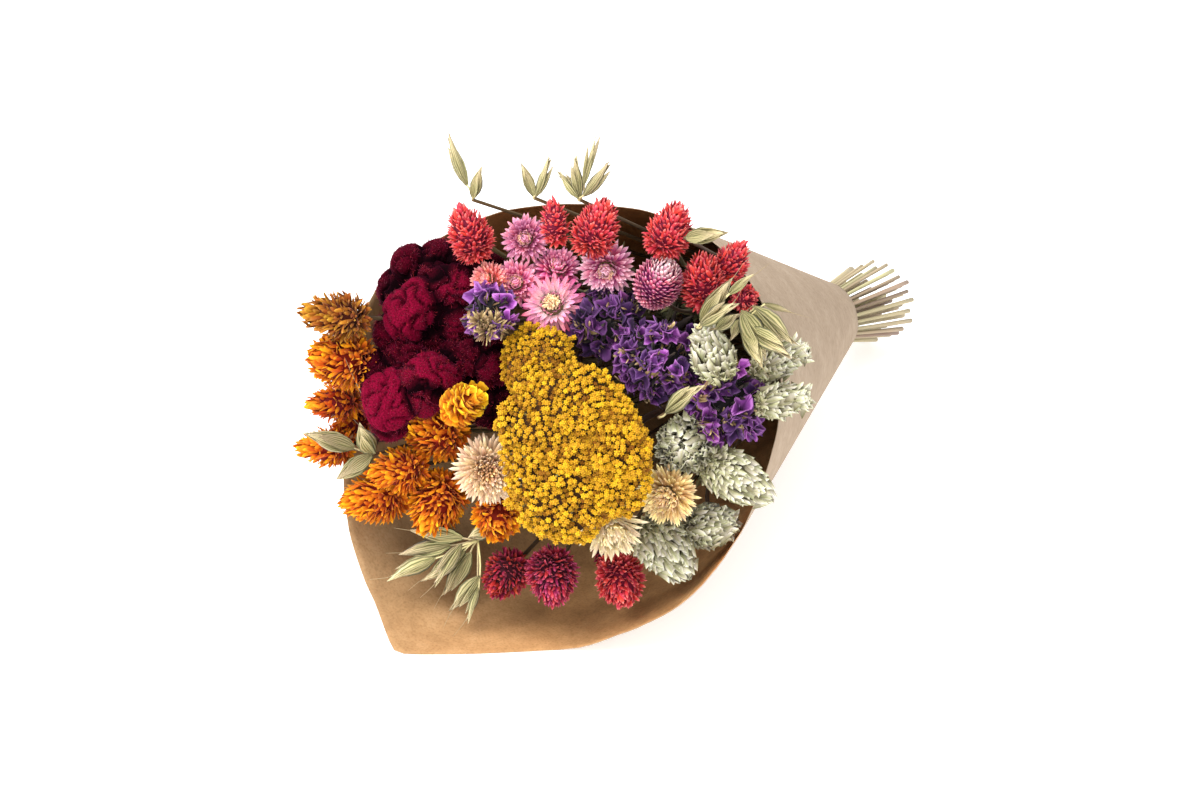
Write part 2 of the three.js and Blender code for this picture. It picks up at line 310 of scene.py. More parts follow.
# %% [markdown]
# All the shapes come down to a few things: directions, rows of rings with faces between them, and faces
# that close a ring with a flat lid or in a point. Modelling tools do this with loops and fills. Here it is
# only a matter of numbering corners, and small functions do it for thousands of scales at once.

# %% Directions and faces
def unit(vectors):
    return vectors / np.maximum(np.linalg.norm(vectors, axis=-1, keepdims=True), 1e-12)


def square_to(vectors, heading):
    """The vectors turned so that they stand square to the heading."""
    return unit(vectors - heading * np.sum(vectors * heading, axis=-1, keepdims=True))


def bands(rings, sides):
    """The faces between rings of corners that are listed one ring after another."""
    steps = np.arange(rings - 1)[:, None] * sides
    first = steps + np.arange(sides)
    after = steps + np.roll(np.arange(sides), -1)
    return np.stack([first, after, after + sides, first + sides], axis=-1).reshape(-1, 4)


def lids(rings, sides):
    """One flat face over each end of such a row of rings."""
    first = np.arange(sides)
    return [first[::-1][None], (rings - 1) * sides + first[None]]


def fan(point, first, after):
    """Faces from one point to a ring of corners."""
    return np.stack([np.full(len(first), point), first, after], axis=-1)


print("three rings of six corners have", len(bands(3, 6)), "faces between them")

# %% [markdown]
# A stem is a tube that follows a smooth line. Blender can bevel a curve into a tube, but a tube made ring
# by ring keeps the ring corners in hand for colour marks and a hollow cut end. The rings are turned along
# the line without twist: each ring takes over the last one's side direction, made square to the new
# heading.

# %% A smooth line and a tube along it
TUBE_RIBS = 3
ANY_SIDE = (0.31, 0.52, 0.79)


def smooth_line(knots, steps):
    """A line through the knots, cut into steps, with its tangents matched to how far apart the knots are."""
    knots = np.asarray(knots, float)
    at = np.concatenate([[0], np.cumsum(np.linalg.norm(np.diff(knots, axis=0), axis=1))])
    slopes = np.gradient(knots, at, axis=0)
    places = np.linspace(0, at[-1], steps)
    k = np.clip(np.searchsorted(at, places, side="right") - 1, 0, len(knots) - 2)
    gap = (at[k + 1] - at[k])[:, None]
    s = (places[:, None] - at[k][:, None]) / gap
    return ((2 * s**3 - 3 * s**2 + 1) * knots[k] + (s**3 - 2 * s**2 + s) * gap * slopes[k]
            + (3 * s**2 - 2 * s**3) * knots[k + 1] + (s**3 - s**2) * gap * slopes[k + 1])


def tube(growth, line, radii, sides, finish, pick=0.0):
    rings = len(line)
    headings = unit(np.gradient(line, axis=0))
    side = np.cross(headings[0], ANY_SIDE)
    rounds = np.linspace(0, 2 * np.pi, sides, endpoint=False)
    points = []
    for place, heading, radius in zip(line, headings, np.broadcast_to(radii, rings)):
        side = side - heading * (side @ heading)
        side = side / np.linalg.norm(side)
        other = np.cross(heading, side)
        points.append(place + radius * (np.outer(np.cos(rounds), side) + np.outer(np.sin(rounds), other)))
    growth.add(np.concatenate(points), [bands(rings, sides)] + lids(rings, sides), finish, pick=pick,
               along=np.repeat(np.linspace(0, 1, rings), sides),
               across=np.tile(np.cos(rounds * TUBE_RIBS), rings))


print("tubes are made ring by ring")

# %% [markdown]
# Scales, petals, bracts and husks are all the same thing in different proportions: a thin leaf with an
# outline, a crease or a cup across it, and a curl along it. One function grows any number of them at once.
# It lays a ring of corners round each leaf at a few stations and closes both ends in a point, so every leaf
# is a closed solid that looks right from both sides.

# %% Leaves of any proportion
NEARLY_STRAIGHT = 1e-3


def leaves(growth, base, heading, outward, length, width, outline, crease=0.0, cup=0.0, curl=0.0,
           thickness=0.12, lanes=3, finish=0, height=0.0):
    """outline is a list of (share of the length, share of the half width). A curl above 0 bends outward.
    thickness is a share of the width."""
    heading = unit(heading)
    outward = square_to(outward, heading)
    side = np.cross(heading, outward)
    length, width, crease, cup, curl = (np.broadcast_to(np.asarray(value, float), len(base))[:, None]
                                        for value in (length, width, crease, cup, curl))
    bend = np.where(np.abs(curl) < NEARLY_STRAIGHT, NEARLY_STRAIGHT, curl)
    lane_row = np.linspace(-1, 1, lanes)
    ring = [(a, 0) for a in lane_row] + [(a, 1) for a in lane_row[-2:0:-1]]
    points, along, across = [], [], []
    for share, wide in [(0.0, 0.0)] + outline + [(1.0, 0.0)]:
        turned = bend * share
        centre = base + length * (heading * np.sin(turned) + outward * (1 - np.cos(turned))) / bend
        up = outward * np.cos(turned) - heading * np.sin(turned)
        half = width / 2 * wide
        for a, under in (ring if wide > 0 else [(0.0, 0)]):
            drop = half * (crease * abs(a) + cup * a * a)
            drop = drop + under * thickness * width * min(1.0, 2 * wide) * (1 - a * a)
            points.append(centre + side * half * a - up * drop)
            along.append(share)
            across.append(a)
    size, rim = len(points), len(ring)
    first = 1 + np.arange(rim)
    after = np.roll(first, -1)
    last = size - 2 - rim
    faces = [1 + bands(len(outline), rim), fan(0, after, first), fan(size - 1, last + first, last + after)]
    growth.add_many(np.stack(points, axis=1), faces, finish, alike={"along": along, "across": across},
                    own={"pick": growth.rng.random(len(base)), "height": height})


print("leaves are closed solids with three or more lanes across")

# %% [markdown]
# A flower head is nearly a turned shape. The plain solid gives its axis, its length and its width, and a
# profile says where along its length it is widest and how blunt its ends are. These functions turn a height
# on the head and an angle round it into a place.

# %% The shape of a flower head
def head_radius(share, profile):
    """Share of the half width at a share of the head's length."""
    widest, blunt = profile
    return np.sin(np.pi * np.clip(share, 0, 1) ** (math.log(0.5) / math.log(widest))) ** blunt


def ways_out(axis, rounds):
    """Directions square to the axis, at these angles round it."""
    side = unit(np.cross(axis, (0.2, 0.3, 1.0)))
    return np.outer(np.cos(rounds), side) + np.outer(np.sin(rounds), np.cross(axis, side))


def middle_of(head):
    return head["base"] + head["axis"] * head["length"] / 2


def place_up(head, share):
    return head["base"] + head["axis"] * head["length"] * share


def head_frame(head, fullness=1.0):
    """A head a little fuller than its plain solid, about the same middle."""
    length = head["length"] * fullness
    base = head["base"] - head["axis"] * (length - head["length"]) / 2
    return base, head["axis"], length, head["width"] * fullness / 2


def around(head, rounds, out, up, fullness=1.0):
    """Points at an angle round the head, a distance out from its axis and a distance up it."""
    base, axis, _, _ = head_frame(head, fullness)
    way = ways_out(axis, rounds)
    return base + way * np.reshape(out, (-1, 1)) + np.outer(np.broadcast_to(up, len(way)), axis), way


print("half way up, a head that is widest there reaches", head_radius(0.5, (0.5, 0.5)), "of its half width")

# %% [markdown]
# Scales on a real head sit in spirals, each turned from the last by the golden angle, which packs them
# evenly without rows. Scattering them by chance would leave holes and heaps. So the same rule places them
# here: equal shares of the head's surface, one golden angle apart.

# %% Even places over a flower head
GOLDEN_ANGLE = math.pi * (3 - math.sqrt(5))
PROFILE_SAMPLES = 400
TIP_ALLOWANCE = 0.07


def spiral_over(head, count, profile, lowest=0.0, highest=1.0, fullness=1.0):
    """Places in a spiral over a head: where each is, which way is out, which way is up it, and its height."""
    _, axis, length, half = head_frame(head, fullness)
    share = np.linspace(lowest, highest, PROFILE_SAMPLES)
    out = head_radius(share, profile) * half
    slant = np.hypot(np.gradient(out), np.gradient(share * length))
    area = np.cumsum((out + TIP_ALLOWANCE * half) * slant)
    area = (area - area[0]) / (area[-1] - area[0])
    height = np.interp((np.arange(count) + 0.5) / count, area, share)
    rise = np.interp(height, share, np.gradient(share * length) / slant)
    swell = np.interp(height, share, np.gradient(out) / slant)
    place, way = around(head, np.arange(count) * GOLDEN_ANGLE, head_radius(height, profile) * half,
                        height * length, fullness)
    outward = way * rise[:, None] - np.outer(swell, axis)
    upward = way * swell[:, None] + np.outer(rise, axis)
    return place, unit(outward), unit(upward), height


print("golden angle", round(math.degrees(GOLDEN_ANGLE), 2), "degrees")

# %% [markdown]
# Between the scales of a real head there is only shade. A hollow head would let light through there, so each
# one hides a plain solid in its middle. Most of these are painted in a dark tone of the head's colour, as
# painted shade. It has the head's own profile, a size smaller.

# %% The core of a flower head
CORE_SIDES = 14
CORE_RINGS = 9


def core(growth, head, size, profile, finish, sides=CORE_SIDES, rings=CORE_RINGS, reshape=np.asarray,
         lowest=0.0):
    """A plain solid in the middle of a head. size is its share of the head."""
    inside = dict(head, width=head["width"] * size, length=head["length"] * size,
                  base=head["base"] + head["axis"] * head["length"] * (1 - size) / 2)
    share = np.linspace(lowest, 1, rings + 2)[1:-1]
    out = head_radius(share, profile) * inside["width"] / 2
    rounds = np.linspace(0, 2 * np.pi, sides, endpoint=False)
    places, _ = around(inside, np.tile(rounds, rings), np.repeat(out, sides),
                       np.repeat(share, sides) * inside["length"])
    ends, _ = around(inside, np.zeros(2), np.zeros(2), np.array((lowest, 1)) * inside["length"])
    first = np.arange(sides)
    after = np.roll(first, -1)
    last = (rings - 1) * sides
    foot, tip = fan(sides * rings, after, first), fan(sides * rings + 1, last + first, last + after)
    growth.add(reshape(np.concatenate([places, ends])), [bands(rings, sides), foot, tip], finish)


print("a core has", CORE_RINGS, "rings of", CORE_SIDES, "corners")

# %% [markdown]
# Dried heads do not all go on in the line of their stems: many have nodded, and look up, aside or at the
# camera. The plain solids are nearly round, so a head may be turned about its own middle and still fill its
# place. The turn is given as it is seen in the photograph: so much to the right, so much up, and so much
# towards the eye. A few heads that would be covered by their neighbours are also brought nearer to the eye.

# %% Turn a head the way it looks
VIEW_RIGHT, VIEW_UP, VIEW_NEAR = np.array(camera.matrix_world.to_3x3()).T @ BUNCH_AXES.T
FORWARD = {
    "orange_phalaris_6": 12, "natural_phalaris_4": 17, "natural_phalaris_6": 6, "pink_strawflower_2": 10,
    "cream_strawflower_1": 8, "cream_strawflower_2": 12, "cream_strawflower_3": 17}


def seen(right, up, near):
    """A direction or a shift given as it is seen in the photograph."""
    return right * VIEW_RIGHT + up * VIEW_UP + near * VIEW_NEAR


def facing(name, head, way):
    """The head turned about its middle, and brought forward if it is covered. With no way it isn't turned."""
    forward = seen(0, 0, FORWARD.get(name, 0) * MM)
    if way is None:
        return dict(head, base=head["base"] + forward)
    axis = unit(seen(*way))
    return dict(head, axis=axis, base=middle_of(head) + forward - axis * head["length"] / 2)


print("towards the eye is", VIEW_NEAR.round(2), "in the bunch")

# %% [markdown]
# A finish is a tree of nodes, each of which does one small thing to a colour or a number. They could be
# linked by hand in the shader editor. In a script they soon fill pages, so here each kind of node gets a
# small function, and a recipe then reads like a list of what is done to the colour.

# %% Nodes in few words
DULL_SHINE = 0.15


def new_finish(name, looks):
    """A material with these settings of its surface, and its tree of nodes."""
    material = bpy.data.materials.new(name)
    material.use_nodes = True
    tree = material.node_tree
    for socket, value in {"Specular IOR Level": DULL_SHINE, **looks}.items():
        tree.nodes["Principled BSDF"].inputs[socket].default_value = value
    return material, tree


def node(tree, kind, inputs=(), **settings):
    """A node with its settings made and its inputs either linked or set."""
    made = tree.nodes.new(kind)
    for key, value in settings.items():
        setattr(made, key, value)
    for socket, value in dict(inputs).items():
        if isinstance(value, bpy.types.NodeSocket):
            tree.links.new(value, made.inputs[socket])
        else:
            made.inputs[socket].default_value = value
    return made


def read_marks(tree, *marks):
    return [node(tree, "ShaderNodeAttribute", attribute_name=mark).outputs["Fac"] for mark in marks]


def scaled(tree, value, low=0.0, high=1.0, start=0.0, end=1.0):
    """A value between start and end turned into one between low and high."""
    return node(tree, "ShaderNodeMapRange", {"Value": value, "From Min": start, "From Max": end,
                                             "To Min": low, "To Max": high}).outputs["Result"]


def maths(tree, operation, *values):
    return node(tree, "ShaderNodeMath", dict(enumerate(values)), operation=operation).outputs[0]


def speckle(tree, place, scale, detail, roughness=0.5):
    return node(tree, "ShaderNodeTexNoise", {"Vector": place, "Scale": scale, "Detail": detail,
                                             "Roughness": roughness}).outputs["Fac"]


def ramp(tree, value, stops):
    made = node(tree, "ShaderNodeValToRGB", {"Fac": value})
    elements = made.color_ramp.elements
    while len(elements) < len(stops):
        elements.new(0.5)
    for element, (place, colour) in zip(elements, stops):
        element.position = place
        element.color = (*colour, 1)
    return made.outputs["Color"]


print("a dry surface has a shine of", DULL_SHINE)

# %% [markdown]
# Three steps come back in every finish. The colour is multiplied by tints that follow a mark, each scale is
# made a little lighter or darker than the next, and a fine relief catches the light. With these steps a
# finish stays procedural, so that it holds at any distance.

# %% Steps of a finish
WHITE = (1, 1, 1)


def tinted(tree, colour, value, stops):
    """The colour multiplied by a ramp of tints."""
    return node(tree, "ShaderNodeMix", {0: 1.0, 6: colour, 7: ramp(tree, value, stops)}, data_type="RGBA",
                blend_type="MULTIPLY").outputs[2]


def varied(tree, colour, pick, hues, values):
    """Each scale has a hue and a brightness of its own. A hue of 0.5 leaves the colour as it is."""
    return node(tree, "ShaderNodeHueSaturation", {"Color": colour, "Hue": scaled(tree, pick, *hues),
                                                  "Value": scaled(tree, pick, *values)}).outputs["Color"]


def dressed(material, colour, relief, strength, depth):
    """The material, with its colour and a fine relief linked in."""
    tree = material.node_tree
    bump = node(tree, "ShaderNodeBump", {"Height": relief, "Strength": strength, "Distance": depth})
    tree.links.new(colour, tree.nodes["Principled BSDF"].inputs["Base Color"])
    tree.links.new(bump.outputs["Normal"], tree.nodes["Principled BSDF"].inputs["Normal"])
    return material


print("a tint of", WHITE, "leaves a colour as it is")

# %% [markdown]
# Dried scales and petals are papery: matt, a little lighter where they thin out at the tip, streaked along
# their length, and no two dyed quite alike. One recipe gives all of them. A colour ramp runs from the root
# of each scale to its tip, the scale's random pick shifts it lighter or darker, and a noise stretched along
# the scale makes the streaks, which also drive a faint bump.

# %% A papery finish
STREAK_LENGTH = 0.35
STREAK_SHIFT = 0.14
PICK_SPREAD = 60


def papery(name, *colours, at=None, spread=0.35, streaks=0.3, roughness=0.75, streak_scale=5.0, low_tint=None,
           keel=None, hue=0.02):
    """colours run from root to tip, evenly or at these places. low_tint multiplies the colour where the
    height mark is low. That is painted shade at the foot of a grass head, on sunken beads and on dim statice,
    and the real pinker tint of the outer petals of a strawflower. keel multiplies it along the middle of each
    scale. spread is how unlike the scales are."""
    material, tree = new_finish(name, {"Roughness": roughness, "Sheen Weight": 0.06})
    along, across, pick, height = read_marks(tree, "along", "across", "pick", "height")
    streaked = {"X": scaled(tree, across), "Y": scaled(tree, along, 0, STREAK_LENGTH),
                "Z": scaled(tree, pick, 0, PICK_SPREAD)}
    grain_at = node(tree, "ShaderNodeCombineXYZ", streaked).outputs[0]
    grain = speckle(tree, grain_at, streak_scale, 3.0, 0.6)
    stops = list(zip(at or np.linspace(0, 1, len(colours)), colours))
    colour = ramp(tree, maths(tree, "ADD", scaled(tree, grain, -STREAK_SHIFT, STREAK_SHIFT), along), stops)
    if low_tint is not None:
        colour = tinted(tree, colour, height, [(0.1, low_tint), (0.6, WHITE)])
    if keel is not None:
        colour = tinted(tree, colour, maths(tree, "ABSOLUTE", across), [(0.05, keel), (0.6, WHITE)])
    colour = tinted(tree, colour, grain, [(0.35, (1 - streaks,) * 3), (0.6, WHITE)])
    colour = varied(tree, colour, pick, (0.5 - hue, 0.5 + hue), (1 - spread, 1 + spread))
    return dressed(material, colour, grain, 0.25, 0.0004)


print("a papery finish has streaks that shift its colour by", STREAK_SHIFT)

# %% [markdown]
# The grass heads were dipped in dye, and their thin tips come out pale. The root of every scale and the foot
# of each head are painted darker, as painted shade where the scales crowd over each other. Each dye is two
# finishes, one for the scales and a darker one that paints the shade between them. The colours were matched
# to the photograph.

# %% Dyes of the grass
def dyed_scale(name, dark, middle, light, tip, **look):
    """The scales of a grass head, and a darker copy of the same dye that paints the shade between them."""
    scales = papery(name + "_scale", dark, middle, light, tip, at=(0.0, 0.4, 0.78, 1.0), **look)
    return scales, papery(name + "_shade", dark, tuple((a + b) / 2 for a, b in zip(dark, middle)))


orange_dye = dyed_scale(
    "orange", (0.25, 0.04, 0.002), (0.60, 0.135, 0.002), (0.77, 0.235, 0.003), (0.90, 0.37, 0.012),
    low_tint=(0.75, 0.55, 0.45), spread=0.24, streaks=0.2)
rust_dye = dyed_scale(
    "rust", (0.16, 0.018, 0.002), (0.49, 0.09, 0.003), (0.72, 0.17, 0.004), (0.84, 0.28, 0.012),
    low_tint=(0.7, 0.5, 0.4), spread=0.24, streaks=0.2)
yellow_dye = dyed_scale(
    "yellow", (0.42, 0.11, 0.002), (0.68, 0.23, 0.002), (0.80, 0.37, 0.004), (0.90, 0.54, 0.02),
    low_tint=(0.85, 0.5, 0.4), spread=0.2, streaks=0.25)
ochre_dye = dyed_scale(
    "ochre", (0.10, 0.025, 0.004), (0.29, 0.085, 0.006), (0.44, 0.155, 0.010), (0.58, 0.28, 0.04),
    low_tint=(0.7, 0.6, 0.5), spread=0.24, streaks=0.25)
red_dye = dyed_scale(
    "red", (0.19, 0.004, 0.008), (0.50, 0.018, 0.028), (0.67, 0.047, 0.060), (0.85, 0.23, 0.21),
    low_tint=(0.85, 0.65, 0.65), spread=0.18, streaks=0.2, hue=0.008)
crimson_dye = dyed_scale(
    "crimson", (0.05, 0.001, 0.003), (0.21, 0.003, 0.012), (0.36, 0.012, 0.024), (0.55, 0.07, 0.09),
    low_tint=(0.65, 0.5, 0.6), spread=0.22, streaks=0.2)
plum_dye = dyed_scale(
    "plum", (0.06, 0.001, 0.008), (0.24, 0.006, 0.034), (0.41, 0.022, 0.070), (0.63, 0.12, 0.18),
    low_tint=(0.65, 0.5, 0.6), spread=0.22, streaks=0.2)
undyed = dyed_scale(
    "undyed", (0.12, 0.105, 0.055), (0.31, 0.285, 0.19), (0.61, 0.57, 0.46), (0.92, 0.88, 0.81),
    low_tint=(0.92, 0.90, 0.74), keel=(0.74, 0.77, 0.56), streaks=0.2, streak_scale=8.0, spread=0.12)
print("finishes:", [m.name for m in bpy.data.materials])

# %% [markdown]
# The stems are dried grass and flower stalks. They are pale straw where they were cut and painted dark brown
# towards the flowers, as painted shade inside the wrap. They are ribbed along their length, a little thicker
# at the foot, and cut off square with a small hollow in the end. The tube starts inside that hollow, turns
# over its edge and runs up the stem, so that the cut end needs no piece of its own.

# %% Stems
STEM_STEPS = 26
STEM_SIDES = 8
STEM_FILLS = 0.94
THICK_END = 0.7
THICK_REACH = 0.2
HOLLOW_DEPTH = 1.6
HOLLOW_EDGE = 0.08
HOLLOW_WIDTH = 0.5
# pale straw at the cut end, painted nearly black-brown towards the flowers as the shade inside the wrap
straw_and_shade_stem = papery(
    "straw_and_shade_stem", (0.60, 0.47, 0.31), (0.42, 0.35, 0.20), (0.14, 0.10, 0.05), (0.085, 0.052, 0.025),
    at=(0.0, 0.3, 0.6, 1.0), streaks=0.4, streak_scale=7.0, roughness=0.6, spread=0.3, hue=0.045)


def stem(growth, sprig, end, finish):
    """A tube that starts in the hollow of the cut end, turns over its edge and runs up to the end point."""
    line = smooth_line(np.vstack([sprig["knots"], end]), STEM_STEPS)
    radius = sprig["thickness"] / 2 * STEM_FILLS
    heading = unit(line[1] - line[0])
    hollow = [line[0] + heading * radius * depth for depth in (HOLLOW_DEPTH, HOLLOW_EDGE)]
    line = np.vstack([*hollow, line])
    thicker = np.clip(1 - np.linspace(0, 1, len(line)) / THICK_REACH, 0, 1)
    radii = radius * (1 + THICK_END * thicker)
    radii[:2] = radius * HOLLOW_WIDTH
    tube(growth, line, radii, STEM_SIDES, finish, growth.rng.random())


print("stems take", STEM_STEPS, "steps")

# %% [markdown]
# Some stems keep shrivelled leaves under the flower. Their finishes are painted very dark, as painted shade,
# so that they darken the gaps between the heads. They are the same thin leaf as a scale, only larger, and
# they stand out from the stem at any angle. Twigs that fork off inside a head are the same tube as a stem,
# only thinner.

# %% Leaves on a stem, and twigs
LEAF_LINE_STEPS = 60
LEAVES_FROM, LEAVES_TO = 0.72, 0.97
LEAF_OUTLINE = [(0.08, 0.4), (0.3, 0.9), (0.5, 1.0), (0.75, 0.7), (0.92, 0.3)]
# both leaf finishes are painted very dark, as painted shade in the gaps between heads
shaded_dry_leaf = papery(
    "shaded_dry_leaf", (0.06, 0.05, 0.02), (0.11, 0.11, 0.05), (0.20, 0.17, 0.08), streaks=0.35, spread=0.4)
shaded_dark_leaf = papery("shaded_dark_leaf", (0.05, 0.012, 0.012), (0.10, 0.035, 0.025), streaks=0.35, spread=0.4)


def stem_leaves(growth, sprig, count, length, width, finish):
    """Shrivelled leaves on the upper part of a stem, under its flower."""
    rng = growth.rng
    line = smooth_line(sprig["knots"], LEAF_LINE_STEPS)
    at = (rng.uniform(LEAVES_FROM, LEAVES_TO, count) * (LEAF_LINE_STEPS - 1)).astype(int)
    along = unit(np.gradient(line, axis=0)[at])
    aside = square_to(rng.normal(0, 1, (count, 3)), along)
    leaves(growth, line[at], along + aside * rng.uniform(0.3, 0.9, (count, 1)), aside - along,
           length * rng.uniform(0.6, 1.2, count), width * rng.uniform(0.6, 1.2, count), LEAF_OUTLINE,
           crease=0.5, curl=rng.uniform(-0.8, 1.3, count), thickness=0.06, finish=finish)


def twig(growth, knots, steps, radii, finish, pick=0.0, sides=5):
    """A thin tube through a few knots. radii are those of its two ends in mm."""
    tube(growth, smooth_line(knots, steps), np.linspace(*radii, steps) * MM, sides, finish, pick)


print("leaves grow between", LEAVES_FROM, "and", LEAVES_TO, "of the way up a stem")

# %% [markdown]
# Canary grass makes most of the heads. Each is a short spike crowded with small boat-shaped scales, creased
# along the back and pointed, whose tips show as a coat of bright points while their roots vanish in shade.
# The tips are placed on the head's outline and the scales grow inward from there, so the head keeps its
# size exactly. A crown of extra scales closes the very top of the broad-scaled heads, where the spiral
# would leave a hole.

# %% A head of canary grass
SCALE_OUTLINE = [(0.22, 0.6), (0.58, 1.0), (0.86, 0.7)]
GRASS_PROFILE = (0.4, 0.55)
COMMON_HEAD_AREA = 23 * MM * 28 * MM
SPREAD_BELOW = 0.25
SCALE_SHAKE = 0.14
SUNK, PROUD = -1.4, 0.8
CROWN_FROM, CROWN_TO = 0.8, 4.5
CROWN_HEIGHT = 0.8


def grass_head(growth, head, spread, crease, scale_length, scale_width, crowding, fullness, curl=0.0,
               slim=1.0, outline=SCALE_OUTLINE, inside=0.82, crown=0):
    """spread is how far the scales stand out, crowding their number on a head of the common size, slim a
    share of the head's width, inside the size of its core, and crown the number of scales round its top."""
    rng = growth.rng
    head = dict(head, width=head["width"] * slim)
    count = int(crowding * head["width"] * head["length"] / COMMON_HEAD_AREA)
    tip, outward, upward, height = spiral_over(head, count, GRASS_PROFILE, 0.03, 1.0, fullness)
    lean = (1 - height[:, None]) * SPREAD_BELOW + spread
    heading = unit(outward * lean + upward * (1 - lean) + rng.normal(0, SCALE_SHAKE, (count, 3)))
    reach = scale_length * rng.uniform(0.8, 1.15, count)
    proud = rng.uniform(SUNK, PROUD, count)[:, None] * MM
    back = unit(outward - upward * 0.6 + rng.normal(0, 0.35, (count, 3)))
    leaves(growth, tip + outward * proud - heading * reach[:, None], heading, back, reach,
           scale_width * rng.uniform(0.75, 1.2, count), outline, crease=crease,
           curl=curl + rng.uniform(-0.4, 0.3, count), height=height)
    core(growth, head, inside, GRASS_PROFILE, 1)
    if crown:
        start, way = around(head, np.arange(crown) * GOLDEN_ANGLE,
                            np.linspace(CROWN_FROM, CROWN_TO, crown) * MM, head["length"] * CROWN_HEIGHT,
                            fullness)
        lean = way * np.linspace(-0.15, 0.6, crown)[:, None]
        heading = head["axis"] + lean + rng.normal(0, 0.08, (crown, 3))
        leaves(growth, start, heading, way, scale_length * rng.uniform(0.9, 1.2, crown), scale_width, outline,
               crease=crease, curl=rng.uniform(-0.4, 0.2, crown), height=1.0)


print("a scale has", len(SCALE_OUTLINE) + 2, "stations along it")

# %% [markdown]
# The same grass grows here in four habits. The red heads are spiky, the orange ones looser and larger, the
# undyed ones have broad and deeply creased husks, and one yellow head has opened so far that its scales
# look like petals. A few heads took the dye differently from their neighbours. Most have nodded on their
# stems, so the way each one looks is given as it is seen in the photograph.

# %% Canary grass
HUSK_SCALE = [(0.2, 0.65), (0.52, 1.0), (0.85, 0.72)]
FAN_SCALE = [(0.3, 0.3), (0.7, 0.8), (0.94, 1.0)]
SPIKY = dict(crowding=560, scale_length=7.6 * MM, scale_width=1.85 * MM, crease=0.6, spread=0.55,
             fullness=1.18)
TUFTED = dict(crowding=430, scale_length=8.4 * MM, scale_width=2.3 * MM, crease=0.45, spread=0.55,
              fullness=1.32)
HUSKY = dict(crowding=340, scale_length=8.4 * MM, scale_width=3.7 * MM, crease=1.1, spread=0.28,
             fullness=1.24, curl=-0.15, slim=0.92, inside=0.8, outline=HUSK_SCALE, crown=26)
PETALLED = dict(crowding=260, scale_length=9.0 * MM, scale_width=4.0 * MM, crease=0.2, spread=0.6,
                fullness=1.08, curl=0.4, outline=FAN_SCALE, inside=0.5)
GRASS = {"orange_phalaris": (orange_dye, TUFTED), "red_phalaris": (red_dye, SPIKY),
         "magenta_phalaris": (crimson_dye, SPIKY), "natural_phalaris": (undyed, HUSKY)}
ODD_ONES = {
    "orange_phalaris_1": (ochre_dye, TUFTED), "orange_phalaris_3": (rust_dye, TUFTED),
    "orange_phalaris_4": (rust_dye, TUFTED), "orange_phalaris_7": (yellow_dye, PETALLED),
    "magenta_phalaris_2": (plum_dye, SPIKY), "magenta_phalaris_3": (red_dye, SPIKY)}
NODDING = {
    "red_phalaris_1": (-0.35, 0.9, 0.3), "red_phalaris_2": (-0.1, 1, 0.2),
    "red_phalaris_3": (0.35, 0.9, 0.3), "red_phalaris_4": (0.35, 0.85, 0.3),
    "red_phalaris_5": (-0.1, 0.8, 0.5), "red_phalaris_6": (0.5, 0.8, 0.2),
    "magenta_phalaris_1": (-0.4, -0.5, 0.7), "magenta_phalaris_2": (0.1, -0.7, 0.6),
    "magenta_phalaris_3": (0.1, -0.6, 0.7), "natural_phalaris_1": (-0.3, 0.8, 0.4),
    "natural_phalaris_2": (0.9, 0.4, 0.2), "natural_phalaris_3": (0.9, 0.1, 0.4),
    "natural_phalaris_4": (-0.1, 0, 1), "natural_phalaris_5": (0.8, -0.5, 0.3),
    "natural_phalaris_6": (0.7, 0.1, 0.7), "natural_phalaris_7": (0.5, -0.7, 0.4),
    "natural_phalaris_8": (0.3, 0.5, 0.5), "orange_phalaris_7": (0.75, 0.5, 0.5)}

for name, sprig, growth in started(sprigs, 100, GRASS):
    (scales, shade), habit = ODD_ONES.get(name, GRASS[kind_of(name)])
    grass_head(growth, facing(name, sprig, NODDING.get(name)), **habit)
    stem(growth, sprig, middle_of(sprig), 2)
    growth.make(name, kind_of(name), [scales, shade, straw_and_shade_stem], smooth=(1, 2))
print("grass heads done, last one has", growth.count, "corners")

# %% [markdown]
# Cockscomb is a crest that has grown too wide for itself, so it folds like velvet pushed together.
# Sculpting would do it, and so would a displacement texture, but here a fine ball is reshaped in code:
# where a slow noise changes sign it leaves a tight crease, and between the creases the surface puffs out.
# The mark along says how much light reaches each corner, and the velvet's colour runs from nearly black to
# burgundy with it.

# %% A fine ball, and a velvet finish
def ball(subdivisions):
    """Corners and faces of a ball of small triangles, and which corners are its twelve points."""
    shape = bmesh.new()
    bmesh.ops.create_icosphere(shape, subdivisions=subdivisions, radius=1)
    corners = np.array([v.co for v in shape.verts])
    faces = np.array([[v.index for v in f.verts] for f in shape.faces])
    points = np.array([len(v.link_edges) == 5 for v in shape.verts])
    shape.free()
    return corners, faces, points


# crease is the colour where little light reaches and ridge where most does, so the ramp between them paints
# light and shade
def velvet(name, crease, ridge):
    material, tree = new_finish(name, {"Roughness": 0.95, "Specular IOR Level": 0.04, "Sheen Weight": 0.13,
                                       "Sheen Roughness": 0.4, "Sheen Tint": (0.7, 0.02, 0.16, 1)})
    nap = speckle(tree, node(tree, "ShaderNodeTexCoord").outputs["Object"], 1400.0, 2.0)
    between = tuple((a + b) / 3 for a, b in zip(crease, ridge))
    colour = ramp(tree, read_marks(tree, "along")[0], [(0.2, crease), (0.7, between), (1.0, ridge)])
    colour = tinted(tree, colour, nap, [(0.35, (0.45, 0.4, 0.4)), (0.62, (1.25, 1.3, 1.3))])
    return dressed(material, colour, nap, 0.8, 0.0006)


